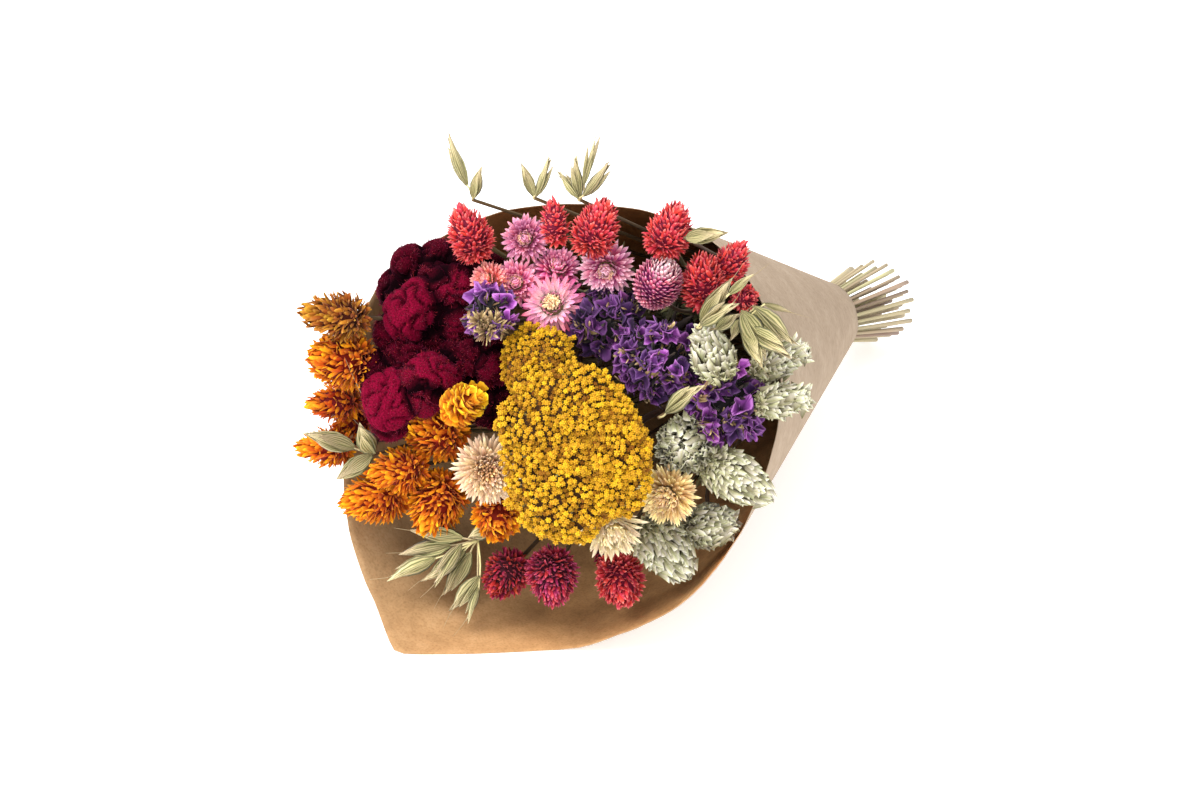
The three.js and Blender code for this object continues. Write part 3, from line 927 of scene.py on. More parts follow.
burgundy_velvet = velvet("burgundy_velvet", (0.003, 0.0, 0.0008), (0.140, 0.0015, 0.016))
velvet_pile = papery("velvet_pile", (0.05, 0.0, 0.005), (0.15, 0.001, 0.018), (0.42, 0.04, 0.10), spread=0.6)
BALL, BALL_FACES, _ = ball(5)
print("each lump of the crest starts from a ball of", len(BALL), "corners")

# %% [markdown]
# One ball becomes one rounded lump. It is dark in its creases and where it meets the other lumps, because
# little light reaches down there. A pile of tiny spikes stands on the open parts, because the soft edge of
# real velvet is made of hairs that catch the light.

# %% A lump of velvet
FOLD_SEED = 1
noise.seed_set(FOLD_SEED)  # without a seed, noise vectors differ from run to run
FOLD_SIZE = 8.0 * MM
CREASE_WIDTH = 0.26
CREASE_DEPTH = 0.3
CREASE_LIGHT = 0.4
MEET_FROM, MEET_OVER = 0.9, 0.4
PILE_PER_LUMP = 300
PILE_WIDTH = 0.22 * MM
PILE_OUTLINE = [(0.3, 1.0)]


def lump(growth, middle, size, others, light):
    """One rounded lump of the crest with its pile. others are the (middle, size) of the lumps it meets, and
    light is the painted light of the lump, which darkens its velvet as painted shade."""
    rng = growth.rng
    offset = Vector(rng.uniform(-50, 50, 3))
    stretch = rng.uniform(0.85, 1.15, 3)
    puff, swell = np.empty(len(BALL)), np.empty(len(BALL))
    for i, place in enumerate(BALL * size):
        at = Vector(place / FOLD_SIZE) + offset
        warped = at + noise.noise_vector(at * 0.7) * 0.7
        depth = min(abs(noise.noise(warped)) / CREASE_WIDTH, 1)
        puff[i] = math.sqrt(1 - (1 - depth) ** 2)
        swell[i] = noise.noise(at * 0.5) * 0.3 + noise.noise(at * 2.6) * 0.03
    surface = middle + BALL * size * stretch * (1 - CREASE_DEPTH + CREASE_DEPTH * puff + swell)[:, None]
    open_air = np.ones(len(BALL))
    for other, other_size in others:
        gap = np.linalg.norm(surface - other, axis=1) / other_size - MEET_FROM
        open_air = np.minimum(open_air, np.clip(gap / MEET_OVER, 0, 1))
    reached = (CREASE_LIGHT + (1 - CREASE_LIGHT) * puff) * open_air * light
    growth.add(surface, [BALL_FACES], 0, along=reached)
    sides = surface[BALL_FACES]
    face_out = np.cross(sides[:, 1] - sides[:, 0], sides[:, 2] - sides[:, 0])
    outward = np.zeros_like(surface)
    for k in range(3):
        np.add.at(outward, BALL_FACES[:, k], face_out)
    proud = np.flatnonzero(puff * open_air > 0.5)
    chosen = rng.choice(proud, min(PILE_PER_LUMP, len(proud)), replace=False)
    heading = unit(unit(outward)[chosen] + rng.normal(0, 0.35, (len(chosen), 3)))
    leaves(growth, surface[chosen] - heading * 0.3 * MM, heading, rng.normal(0, 1, (len(chosen), 3)),
           rng.uniform(0.9, 2.3, len(chosen)) * MM, PILE_WIDTH, PILE_OUTLINE, thickness=0.9, finish=1)


print("a lump has up to", PILE_PER_LUMP, "spikes of pile")

# %% [markdown]
# A crest is a heap of such lumps. They could be scattered at random, but then the crest would have another
# outline than the real one, so their places are read off the photograph. The further back a lump lies, the
# dimmer it is painted. Each crest also has a painted light of its own, so that the crest in shade is painted
# darker.

# %% Cockscomb
DIMMEST = 0.85
BRIGHTER_EVERY = 18
# painted light of each crest: celosia_3 lies in shade and is painted darker
CREST_LIGHT = {"celosia_1": 0.92, "celosia_2": 1.08, "celosia_3": 0.75}
# right, up and towards the eye from the middle of the crest, and size, all in mm
LUMPS = {
    "celosia_1": ((-12, 8, -2, 10), (0, 12, -3, 10), (11, 10, -3, 10), (18, 1, -3, 11), (-10, -11, 4, 15),
                  (5, -3, 3, 13), (-21, -20, 0, 9), (8, -16, 1, 11), (-19, -2, -4, 11), (0, 2, 4, 10),
                  (-3, -22, -2, 10), (17, -11, -3, 10), (24, 8, -6, 8)),
    "celosia_2": ((-7, 16, -3, 11), (8, 7, 3, 12), (-13, -4, 4, 13), (2, 0, 5, 11), (-18, 9, -4, 11),
                  (-13, -13, -1, 9), (12, 2, -6, 10), (15, 14, -6, 11), (0, 4, 5, 9), (-6, 25, -6, 9)),
    "celosia_3": ((5, -6, 4, 10), (-6, -2, 3, 9), (-3, -17, -5, 11), (3, -26, -7, 11), (-5, 9, -3, 9),
                  (8, -17, -4, 9), (-10, 18, -5, 9), (1, 3, 2, 8)),
}

for name, sprig, growth in started(LUMPS, 200, ("celosia",)):
    lumps = [(middle_of(sprig) + seen(*place) * MM, size * MM) for *place, size in LUMPS[name]]
    for number, (centre, size) in enumerate(lumps):
        light = CREST_LIGHT[name] * (DIMMEST + LUMPS[name][number][2] / BRIGHTER_EVERY)
        lump(growth, centre, size, lumps[:number] + lumps[number + 1:], light)
    # a core of the velvet at its darkest fills the middle of the crest, as painted shade
    core(growth, sprig, 0.5, (0.5, 0.6), 0)
    stem(growth, sprig, place_up(sprig, 0.3), 2)
    stem_leaves(growth, sprig, 16, 34 * MM, 8 * MM, 3)
    growth.make(name, "celosia", [burgundy_velvet, velvet_pile, straw_and_shade_stem, shaded_dark_leaf], smooth=(0, 2, 3))
print("cockscomb done, last one has", growth.count, "corners")

# %% [markdown]
# Yarrow is a flat-topped head of many little bunches of hard golden beads. The beads are what the eye
# reads, so each is modelled: a ball whose twelve points are pushed out, which makes it knobbly like the
# real floret.

# %% Beads
BEAD, BEAD_FACES, BEAD_POINTS = ball(2)
KNOB = 0.26
golden_bead = papery("golden_bead", (0.46, 0.22, 0.003), (0.64, 0.36, 0.005), (0.76, 0.49, 0.013),
                     spread=0.14, hue=0.008, low_tint=(0.45, 0.33, 0.22))
yarrow_green = papery("yarrow_green", (0.12, 0.10, 0.03), (0.20, 0.16, 0.05))
yarrow_shade = papery("yarrow_shade", (0.085, 0.042, 0.006), (0.13, 0.065, 0.008))


def beads(growth, places, radii, height):
    """Knobbly beads, each turned any way."""
    turns = np.linalg.qr(growth.rng.normal(size=(len(places), 3, 3)))[0]
    turns = turns * np.sign(np.linalg.det(turns))[:, None, None]
    shape = BEAD * np.where(BEAD_POINTS, 1 + KNOB, 1 - KNOB / 2)[:, None]
    turned = np.einsum("nij,kj->nki", turns, shape)
    growth.add_many(places[:, None] + turned * radii[:, None, None], [BEAD_FACES], 0,
                    alike={"along": BEAD_POINTS.astype(float)},
                    own={"pick": growth.rng.random(len(places)), "height": height})


print("a bead has", len(BEAD_FACES), "faces")

# %% [markdown]
# The beads grow in bunches with dark gaps between them. A pattern of cells gives that at once: a bead near
# the middle of its cell stands up, and one between two cells sinks. The big head's outline isn't round
# either, so its points are drawn in or pushed out by a share for each angle, as it is seen from the front.

# %% Bunches and an uneven outline
BUNCH_SIZE = 7.0 * MM
GAP_STEEPNESS, GAP_ROUNDNESS = 2.2, 0.7
OUTLINE_ANGLES = (-180, -160, -145, -115, -95, -75, -50, -35, -9, 20, 45, 70, 100, 150, 180)
OUTLINE_SHARES = (1.0, 0.95, 1.06, 1.18, 1.12, 0.86, 0.92, 0.84, 0.92, 0.86, 0.82, 0.92, 1.06, 1.12, 1.0)


def drawn_in(points, middle):
    """The points of the big head moved in or out to its outline."""
    shift = points - middle
    right, up = shift @ VIEW_RIGHT, shift @ VIEW_UP
    share = np.interp(np.degrees(np.arctan2(up, right)), OUTLINE_ANGLES, OUTLINE_SHARES) - 1
    return points + np.outer(right * share, VIEW_RIGHT) + np.outer(up * share, VIEW_UP)


def bunch_height(place):
    """How far a bead stands up: 1 in the middle of a bunch, 0 in the gap between two."""
    near, _ = noise.voronoi(Vector(place / BUNCH_SIZE), distance_metric="DISTANCE", exponent=2.5)
    return min((near[1] - near[0]) * GAP_STEEPNESS, 1.0) ** GAP_ROUNDNESS


print("the big head's outline is given at", len(OUTLINE_ANGLES), "angles")

# %% [markdown]
# Beads are laid all over the dome in the golden spiral, raised or sunk by their place in the bunch, and a few
# more are heaped on the highest. The sunken ones are also painted darker, as painted shade. Below them a fan
# of green twigs and a core painted dark brown as shade close the head.

# %% Yarrow
BEAD_SIZE = 2.3 * MM
BUNCH_LIFT = 3.6 * MM
BUNCH_SINK = 2.1 * MM
DOME_AREA = 3.3
BEADS_TO_SPARE = 1.08
BEAD_ROOM = 0.72
EXTRA_BEADS = 0.18
BEADS_PER_TWIG = 16
DOME_UNEVEN = 0.15
YARROW_PROFILE = (0.66, 0.42)


def yarrow_head(growth, head, reshape):
    rng = growth.rng
    count = int(DOME_AREA * (head["width"] / 2) ** 2 * BEADS_TO_SPARE / (BEAD_ROOM * BEAD_SIZE**2))
    place, outward, _, _ = spiral_over(head, count, YARROW_PROFILE, 0.5)
    middle = place_up(head, 0.6)
    uneven = np.array([noise.noise(Vector(unit(p - middle) * 2.2 + head["base"] * 30)) for p in place])
    place = reshape(place + (place - middle) * (uneven * DOME_UNEVEN)[:, None])
    lift = np.array([bunch_height(p) for p in place])
    outward = unit(outward + head["axis"] * 0.3)
    place = place + outward * (lift * BUNCH_LIFT - BUNCH_SINK)[:, None] + rng.normal(0, 0.3 * MM, place.shape)
    beads(growth, place, BEAD_SIZE / 2 * rng.uniform(0.86, 1.16, len(place)), lift)
    few = (rng.random(len(place)) < EXTRA_BEADS) & (lift > 0.5)
    higher = outward[few] * rng.uniform(0.8, 1.6, (few.sum(), 1)) * MM
    top = place[few] + higher + rng.normal(0, 0.4 * MM, (few.sum(), 3))
    beads(growth, top, BEAD_SIZE / 2 * rng.uniform(0.85, 1.1, len(top)), 1.0)
    fork = place_up(head, 0.05)
    for low in place[::BEADS_PER_TWIG]:
        knee = fork + (low - fork) * 0.5 - head["axis"] * 2 * MM
        twig(growth, [fork, knee, low], 7, (0.9, 0.55), 1, rng.random())
    core(growth, head, 0.86, YARROW_PROFILE, 2, sides=28, reshape=reshape, lowest=0.44)


for name, sprig, growth in started(sprigs, 300, ("yarrow",)):
    reshape = (lambda points: drawn_in(points, middle_of(sprig))) if name == "yarrow_1" else np.asarray
    yarrow_head(growth, sprig, reshape)
    stem(growth, sprig, sprig["base"] + sprig["axis"] * 2 * MM, 3)
    growth.make(name, "yarrow", [golden_bead, yarrow_green, yarrow_shade, straw_and_shade_stem], smooth=(1, 2, 3))
    print(name, "has", growth.count, "corners")

# %% [markdown]
# A strawflower is built of stiff papery petals in tiers: the outer ones spread flat, the inner ones stand
# up and close over a disc of fine florets. Each tier is a ring of leaves with its own tilt from the
# flower's axis, number, reach and curl, so a flower that is more open or more closed needs only another
# list of tiers.

# %% A strawflower
PETAL_OUTLINE = [(0.2, 0.6), (0.55, 1.0), (0.86, 0.65)]
NEEDLE_OUTLINE = [(0.15, 0.7), (0.6, 1.0), (0.85, 0.7)]
DISC_FLORETS = 120
DISC_HEIGHT = 0.42
FLORET_LENGTH, FLORET_WIDTH = 0.36, 0.08
FIRST_TIER, TIER_RISE = 0.1, 0.05
FIRST_ROOT, TIER_DRAW = 0.2, 0.012
FINE_PETAL = 0.15
# tilt in degrees, number of petals, reach as a share of the flower's radius, curl
OPEN_TIERS = ((104, 14, 0.7, 0.1), (88, 26, 1.0, 0.1), (74, 26, 0.96, 0.0), (60, 24, 0.8, -0.3),
              (44, 20, 0.56, -0.5))
FULL_TIERS = ((118, 16, 0.6, 0.2), (98, 22, 0.84, 0.1), (82, 26, 0.92, -0.2), (66, 28, 0.9, -0.4),
              (52, 26, 0.82, -0.6), (39, 22, 0.7, -0.8), (27, 16, 0.58, -0.9), (15, 10, 0.48, -0.9))
FINE_TIERS = ((112, 26, 0.76, -0.2), (97, 40, 0.9, -0.4), (84, 44, 0.94, -0.6), (71, 44, 0.9, -0.7),
              (58, 40, 0.82, -0.8), (46, 32, 0.7, -0.9))
BUD_TIERS = ((150, 9, 0.62, -0.4), (64, 22, 0.9, -0.3), (46, 26, 0.92, -0.5), (30, 26, 0.9, -0.6),
             (16, 18, 0.8, -0.7))


def strawflower(growth, head, tiers, petal_width, disc, fullness):
    """petal_width and disc are shares of the flower's radius."""
    rng = growth.rng
    base, axis, length, half = head_frame(head, fullness)
    for tier, (tilt, count, reach, curl) in enumerate(tiers):
        rounds = (np.arange(count) + rng.uniform(0, 1) + rng.normal(0, 0.16, count)) * 2 * np.pi / count
        way = ways_out(axis, rounds)
        tilts = np.radians(tilt + rng.normal(0, 6, count))[:, None]
        heading = way * np.sin(tilts) + axis * np.cos(tilts)
        back = way * np.cos(tilts) - axis * np.sin(tilts)
        long = half * reach * rng.uniform(0.86, 1.08, count)
        rise, root = FIRST_TIER + TIER_RISE * tier, FIRST_ROOT - TIER_DRAW * tier
        start = base + axis * length * rise + way * half * root
        leaves(growth, start, heading, back, long, petal_width * half * rng.uniform(0.8, 1.15, count),
               PETAL_OUTLINE, cup=0.7, curl=curl + rng.normal(0, 0.14, count), thickness=0.07,
               lanes=5 if petal_width > FINE_PETAL else 3, height=tier / len(tiers))
    out = np.sqrt((np.arange(DISC_FLORETS) + 0.5) / DISC_FLORETS)
    way = ways_out(axis, np.arange(DISC_FLORETS) * GOLDEN_ANGLE)
    start = base + axis * length * DISC_HEIGHT + way * (out * disc * half * 0.85)[:, None]
    leaves(growth, start, axis + way * (0.6 * out)[:, None] + rng.normal(0, 0.1, (DISC_FLORETS, 3)), way,
           half * FLORET_LENGTH * rng.uniform(0.8, 1.2, DISC_FLORETS), half * FLORET_WIDTH, NEEDLE_OUTLINE,
           thickness=0.7, finish=1, height=out)
    core(growth, dict(head, length=head["length"] * 0.8), 0.5, (0.5, 0.5), 2)


print("a full strawflower has", sum(count for _, count, _, _ in FULL_TIERS), "petals")

# %% [markdown]
# Their petals are hardly ever one colour: they are warm at the root, strongest in the middle and pale at
# the tip. The outermost petals of one flower are pinker than the rest, so the petal paper also takes a tint
# for those. It is smoother than the other papers, because these petals shine a little.

# %% Petal papers
def petal_paper(name, root, middle, tip, outer=WHITE):
    """outer is how the outermost petals are tinted."""
    return papery(name, root, middle, tip, at=(0.1, 0.5, 0.95), spread=0.14, streaks=0.16, roughness=0.5,
                  low_tint=outer)


LATE_TIP = (0.0, 0.6, 1.0)
peach_disc = papery("peach_disc", (0.62, 0.26, 0.14), (0.92, 0.50, 0.32), (0.98, 0.74, 0.54), at=LATE_TIP)
butter_disc = papery("butter_disc", (0.5, 0.32, 0.10), (0.86, 0.66, 0.30), (0.95, 0.86, 0.60), at=LATE_TIP)
tan_disc = papery("tan_disc", (0.42, 0.18, 0.05), (0.76, 0.40, 0.16), (0.90, 0.62, 0.36), at=LATE_TIP)
apricot_disc = papery("apricot_disc", (0.80, 0.42, 0.15), (0.97, 0.62, 0.30), (1.0, 0.82, 0.56), at=LATE_TIP)
straw_green = papery("straw_green", (0.18, 0.15, 0.06), (0.30, 0.26, 0.12))
print("the florets of a disc reach their middle colour at", LATE_TIP[1], "of their length")

# %% [markdown]
# No two of the nine flowers are alike. Rather than nine functions there is one table, with a line for each
# flower: how open it is, how fine its petals, what colour, and which way it looks in the photograph.

# %% Strawflowers
MAUVE = ((0.62, 0.26, 0.26), (0.52, 0.08, 0.20), (0.78, 0.34, 0.48))
CORAL = ((0.95, 0.46, 0.28), (0.88, 0.15, 0.14), (0.97, 0.42, 0.38))
ROSE = ((0.95, 0.62, 0.50), (0.72, 0.08, 0.24), (0.94, 0.42, 0.56))
HOT_PINK = ((0.95, 0.55, 0.44), (0.68, 0.035, 0.24), (0.95, 0.42, 0.58))
PALE_PINK = ((0.98, 0.86, 0.76), (0.92, 0.58, 0.62), (0.78, 0.20, 0.38), (0.85, 0.38, 0.56))
SILVER_PINK = ((0.78, 0.34, 0.36), (0.64, 0.09, 0.28), (0.95, 0.58, 0.68))
CREAM = ((0.82, 0.48, 0.24), (0.92, 0.64, 0.38), (0.98, 0.76, 0.52))
PEACH = ((1.0, 0.55, 0.18), (1.0, 0.68, 0.28), (1.0, 0.80, 0.42))
IVORY = ((0.88, 0.62, 0.34), (0.97, 0.78, 0.46), (0.98, 0.82, 0.54))
# tiers, width of the petals, their colours, size of the disc, its finish, the way the flower looks, fullness
STRAWFLOWERS = {
    "pink_strawflower_1": (FULL_TIERS, 0.2, MAUVE, 0.15, peach_disc, (-0.1, 0.0, 1), 1.42),
    "pink_strawflower_2": (FULL_TIERS, 0.21, CORAL, 0.15, peach_disc, (-0.5, 0.2, 0.8), 1.42),
    "pink_strawflower_3": (FULL_TIERS, 0.21, ROSE, 0.14, peach_disc, (0.0, 0.1, 1), 1.42),
    "pink_strawflower_4": (FULL_TIERS, 0.21, HOT_PINK, 0.14, peach_disc, (0.1, 0.5, 0.8), 1.36),
    "pink_strawflower_5": (OPEN_TIERS, 0.19, PALE_PINK, 0.13, apricot_disc, (-0.1, 0.1, 1), 1.2),
    "pink_strawflower_6": (FULL_TIERS, 0.19, SILVER_PINK, 0.16, peach_disc, (-0.1, -0.4, 0.9), 1.36),
    "cream_strawflower_1": (FINE_TIERS, 0.15, CREAM, 0.34, tan_disc, (0.1, -0.15, 1), 1.2),
    "cream_strawflower_2": (FINE_TIERS, 0.15, PEACH, 0.34, apricot_disc, (-0.3, -0.3, 0.8), 1.2),
    "cream_strawflower_3": (BUD_TIERS, 0.15, IVORY, 0.34, butter_disc, (0.2, -0.6, 0.7), 1.85),
}

for name, sprig, growth in started(STRAWFLOWERS, 400, ("pink_strawflower", "cream_strawflower")):
    tiers, petal_width, colours, disc_size, disc, way, fullness = STRAWFLOWERS[name]
    strawflower(growth, facing(name, sprig, way), tiers, petal_width, disc_size, fullness)
    stem(growth, sprig, middle_of(sprig), 3)
    stem_leaves(growth, sprig, 14, 22 * MM, 3.6 * MM, 4)
    petals = petal_paper(name + "_petals", *colours)
    growth.make(name, kind_of(name), [petals, disc, straw_green, straw_and_shade_stem, shaded_dry_leaf], smooth=(0, 2, 3, 4))
print("strawflowers done, last one has", growth.count, "corners")

# %% [markdown]
# Globe amaranth is a tight ball of short papery bracts. It grows by the same spiral as the grass heads,
# with rounder, cupped scales that stand further out, and it fades to a pale tuft at the very top.

# %% Globe amaranth
BRACT_OUTLINE = [(0.2, 0.6), (0.5, 1.0), (0.8, 0.85)]
ROUND_PROFILE = (0.5, 0.5)
AMARANTH_STRETCH = 1.2
amaranth = papery("amaranth_bract", (0.20, 0.010, 0.06), (0.52, 0.05, 0.18), (0.74, 0.22, 0.34),
                  (0.88, 0.52, 0.56), at=(0.0, 0.5, 0.85, 1.0), spread=0.2)
amaranth_top = papery("amaranth_top", (0.5, 0.16, 0.26), (0.80, 0.38, 0.46), (0.93, 0.68, 0.66))
amaranth_shade = papery("amaranth_shade", (0.20, 0.012, 0.09), (0.26, 0.02, 0.12))

for name, sprig, growth in started(sprigs, 500, ("gomphrena",)):
    rng = growth.rng
    head = facing(name, dict(sprig, length=sprig["length"] * AMARANTH_STRETCH), (0.3, 0.6, 0.7))
    for low, high, count, finish in ((0.02, 0.88, 380, 0), (0.84, 1.0, 50, 1)):
        tip, outward, upward, height = spiral_over(head, count, ROUND_PROFILE, low, high, 1.2)
        heading = unit(outward * 0.8 + upward * 0.45 + rng.normal(0, 0.12, (count, 3)))
        reach = rng.uniform(4.6, 6.2, count) * MM
        leaves(growth, tip - heading * reach[:, None], heading, outward - upward, reach,
               rng.uniform(1.9, 2.5, count) * MM, BRACT_OUTLINE, cup=0.5, curl=-0.3, finish=finish,
               height=height)
    core(growth, head, 0.88, ROUND_PROFILE, 2)
    stem(growth, sprig, place_up(sprig, 0.3), 3)
    stem_leaves(growth, sprig, 12, 22 * MM, 4 * MM, 4)
    growth.make(name, "gomphrena", [amaranth, amaranth_top, amaranth_shade, straw_and_shade_stem, shaded_dry_leaf],
                smooth=(0, 1, 2, 3, 4))
print("globe amaranth has", growth.count, "corners")

# %% [markdown]
# Statice keeps only its calyces when it dries: small papery funnels, crumpled and ruffled at the mouth. A
# funnel is turned like a pot from a profile, then its mouth is waved and pushed about by a few sines that
# differ for each funnel. An inner wall follows the outer one back down, so that it has real thickness.

# %% Ruffled funnels
FUNNEL_ROUND = 16
FUNNEL_PROFILE = ((0.0, 0.05), (0.32, 0.13), (0.55, 0.26), (0.75, 0.55), (0.9, 0.85), (1.0, 1.0))
WALL_SHIFT, WALL_INSET = 0.03, 0.07
RUFFLE, FINE_RUFFLE, OVAL, ONE_SIDED = 0.13, 0.08, 0.26, 0.12
FRILL, FINE_FRILL, FRILL_LAG = 0.24, 0.12, 1.3
MOUTH_ONSET = 2.5
# the height mark holds painted light here, so dim heads and clusters get a painted shade
violet_calyx = papery(
    "violet_calyx", (0.05, 0.03, 0.02), (0.025, 0.004, 0.030), (0.085, 0.014, 0.12), (0.19, 0.040, 0.25),
    (0.36, 0.14, 0.42), at=(0.0, 0.4, 0.72, 0.92, 1.0), spread=0.55, streaks=0.45, roughness=0.6, hue=0.03,
    low_tint=(0.3, 0.27, 0.32))


def wave(waves, rounds, phase, share):
    return share * np.sin(waves * rounds + phase)


def funnels(growth, base, heading, length, width, light):
    rng, count = growth.rng, len(base)
    heading = unit(heading)
    side = unit(np.cross(heading, rng.normal(0, 1, (count, 3))))
    other = np.cross(heading, side)
    rounds = np.linspace(0, 2 * np.pi, FUNNEL_ROUND, endpoint=False)
    lobes, phase = rng.integers(3, 6, (count, 1)), rng.uniform(0, 6.28, (count, 4))
    lobed, fine, oval, aside = (phase[:, k:k + 1] for k in range(4))
    ruffle = wave(lobes, rounds, lobed, RUFFLE) + wave(lobes + 2, rounds, fine, FINE_RUFFLE)
    ruffle = ruffle + wave(2, rounds, oval, OVAL) + wave(1, rounds, aside, ONE_SIDED)
    frill = wave(lobes, rounds, fine + FRILL_LAG, FRILL) + wave(lobes + 2, rounds, aside, FINE_FRILL)
    inner_wall = [(share + WALL_SHIFT, out - WALL_INSET) for share, out in FUNNEL_PROFILE[:0:-1]]
    walls = [*FUNNEL_PROFILE, *inner_wall]
    rings = []
    for share, out in walls:
        mouth = share**MOUTH_ONSET
        radius = width[:, None] / 2 * out * (1 + ruffle * mouth)
        rise = length[:, None] * (share + mouth * frill)
        rings.append(base[:, None] + side[:, None] * (radius * np.cos(rounds))[..., None]
                     + other[:, None] * (radius * np.sin(rounds))[..., None]
                     + heading[:, None] * rise[..., None])
    faces = [bands(len(walls), FUNNEL_ROUND)] + lids(len(walls), FUNNEL_ROUND)
    # the height mark carries the painted light of each funnel
    growth.add_many(np.concatenate(rings, axis=1), faces, 0,
                    alike={"along": np.repeat([min(share, 1.0) for share, _ in walls], FUNNEL_ROUND),
                           "across": np.tile(np.cos(rounds * 4), len(walls))},
                    own={"pick": rng.random(count), "height": light})


print("a funnel has", FUNNEL_ROUND, "corners round its mouth")

# %% [markdown]
# Between the funnels stand small dry bracts like splinters, tan where they catch the light, and a second set
# painted nearly black as painted shade in the gaps. They are the thin leaf again, as narrow as a needle. A
# few dozen of them that point all ways out of one place make a spent cluster, a tan tuft.

# %% Bracts and a tuft
TUFT_BRACTS = 44
brown_bract = papery("brown_bract", (0.08, 0.045, 0.02), (0.32, 0.20, 0.09), (0.58, 0.42, 0.23), at=LATE_TIP)
painted_shade_bract = papery("painted_shade_bract", (0.010, 0.007, 0.008), (0.022, 0.015, 0.014), (0.06, 0.042, 0.03),
                    at=LATE_TIP)


def bracts(growth, start, heading, outward, lengths, widths, finish):
    """Needle-shaped bracts. lengths and widths are ranges in mm."""
    long, wide = (growth.rng.uniform(*span, len(start)) * MM for span in (lengths, widths))
    leaves(growth, start, heading, outward, long, wide, NEEDLE_OUTLINE, cup=0.4, finish=finish)


def seed_tuft(growth, middle, axis):
    """A spent cluster: tan bracts that point all ways out of one place."""
    way = unit(growth.rng.normal(0, 1, (TUFT_BRACTS, 3)) + axis * 0.7)
    turned = growth.rng.normal(0, 1, way.shape)
    bracts(growth, middle + way * MM, way, turned, (3.5, 6.5), (0.9, 1.5), 1)


print("a tuft has", TUFT_BRACTS, "bracts")

# %% [markdown]
# The funnels sit in clusters on thin forking branchlets, with bracts between and behind them. Their mouths
# are laid over the head in the golden spiral, then each is drawn towards the nearest of a few cluster
# middles. Deep in the bunch the flowers are dimmer, so each head, and each cluster by chance, has its own
# painted light, which darkens the calyx colour as painted shade. The photograph shows a tan tuft at the front
# of the first head.

# %% Statice
STATICE_PROFILE = (0.58, 0.6)
FUNNELS_PER_CLUSTER = 8
FUNNELS_PER_AREA = 0.1 / MM**2
BRACTS_PER_FUNNEL = 7
DRAWN_TOGETHER = 0.74
DEEPEST = 7.0
STATICE_FULLNESS = 1.36
CLUSTER_LIGHT = (0.35, 1.9)
STATICE_LIGHT = {"statice_1": 0.5, "statice_2": 0.14, "statice_3": 0.3, "statice_4": 0.56}
TUFTED_HEAD = "statice_1"
TUFT_PLACES = ((-2, -4), (4, -5), (1, -8))
TUFT_FORWARD = 8


def statice_head(growth, head, light):
    rng = growth.rng
    count = int(FUNNELS_PER_AREA * head["width"] * head["length"])
    mouth, outward, upward, _ = spiral_over(head, count, STATICE_PROFILE, 0.12, 1.0, STATICE_FULLNESS)
    clusters = max(count // FUNNELS_PER_CLUSTER, 3)
    cluster, _, _, _ = spiral_over(head, clusters, STATICE_PROFILE, 0.15, 0.98, STATICE_FULLNESS)
    nearest = np.linalg.norm(mouth[:, None] - cluster, axis=2).argmin(axis=1)
    light = light * rng.uniform(*CLUSTER_LIGHT, clusters)[nearest]
    aside = mouth - cluster[nearest]
    mouth = cluster[nearest] + aside * DRAWN_TOGETHER
    heading = unit(outward * 0.6 + upward * 0.3 + unit(aside) * 0.55 + rng.normal(0, 0.25, (count, 3)))
    long = rng.uniform(6.0, 8.5, count) * MM
    sunk = rng.uniform(0, DEEPEST, count)[:, None] * MM
    base = mouth - outward * sunk - heading * long[:, None]
    funnels(growth, base, heading, long, rng.uniform(6.5, 10.0, count) * MM, light)
    for place in base:
        knee = head["base"] + (place - head["base"]) * 0.55 + head["axis"] * 1.5 * MM
        twig(growth, [head["base"], knee, place], 6, (0.4, 0.4), 2, rng.random())
    many = count * BRACTS_PER_FUNNEL
    chosen = rng.integers(0, count, many)
    start = base[chosen] + rng.normal(0, 1.4 * MM, (many, 3))
    scattered = heading[chosen] + rng.normal(0, 0.6, (many, 3))
    bracts(growth, start, scattered, outward[chosen], (3.5, 6.5), (0.9, 1.7), 1)
    # the core, a deep layer of bracts and the stem leaves are nearly black, as painted shade between the
    # funnels
    core(growth, head, 0.8, STATICE_PROFILE, 3)
    start, way, _, _ = spiral_over(head, count * 2, STATICE_PROFILE, 0.1, 1.0, 1.05)
    scattered, turned = way + rng.normal(0, 0.6, way.shape), rng.normal(0, 1, way.shape)
    bracts(growth, start - way * 4 * MM, scattered, turned, (4, 8), (1.2, 2.4), 3)
    stem_leaves(growth, head, 12, 24 * MM, 4 * MM, 3)


for name, sprig, growth in started(sprigs, 600, ("statice",)):
    statice_head(growth, sprig, STATICE_LIGHT[name])
    stem(growth, sprig, sprig["base"], 2)
    for right, up in TUFT_PLACES if name == TUFTED_HEAD else ():
        seed_tuft(growth, place_up(sprig, 0.7) + seen(right, up, TUFT_FORWARD) * MM, sprig["axis"])
    growth.make(name, "statice", [violet_calyx, brown_bract, straw_and_shade_stem, painted_shade_bract], smooth=(0, 2, 3))
print("statice done, last one has", growth.count, "corners")

# %% [markdown]
# Oat sprays carry their seed in long hanging husks on hair-thin stalks. A husk is a pair of boat-shaped
# leaves that part a little at the tip, with a smaller one between them and a bristle running out. Its veins
# are what makes it look like oat, so the finish draws them as stripes: a sine that runs across the leaf and
# drives the colour and the bump.

# %% The husks of an oat
HUSK_LENGTH = 25 * MM
HUSK_OUTLINE = [(0.08, 0.34), (0.25, 0.82), (0.45, 1.0), (0.65, 0.8), (0.82, 0.44), (0.93, 0.17)]
HUSK_LANES = 7
VEINS = 50
VEIN_DARK, VEIN_LIGHT = (0.42, 0.46, 0.32), (1.25, 1.2, 1.15)
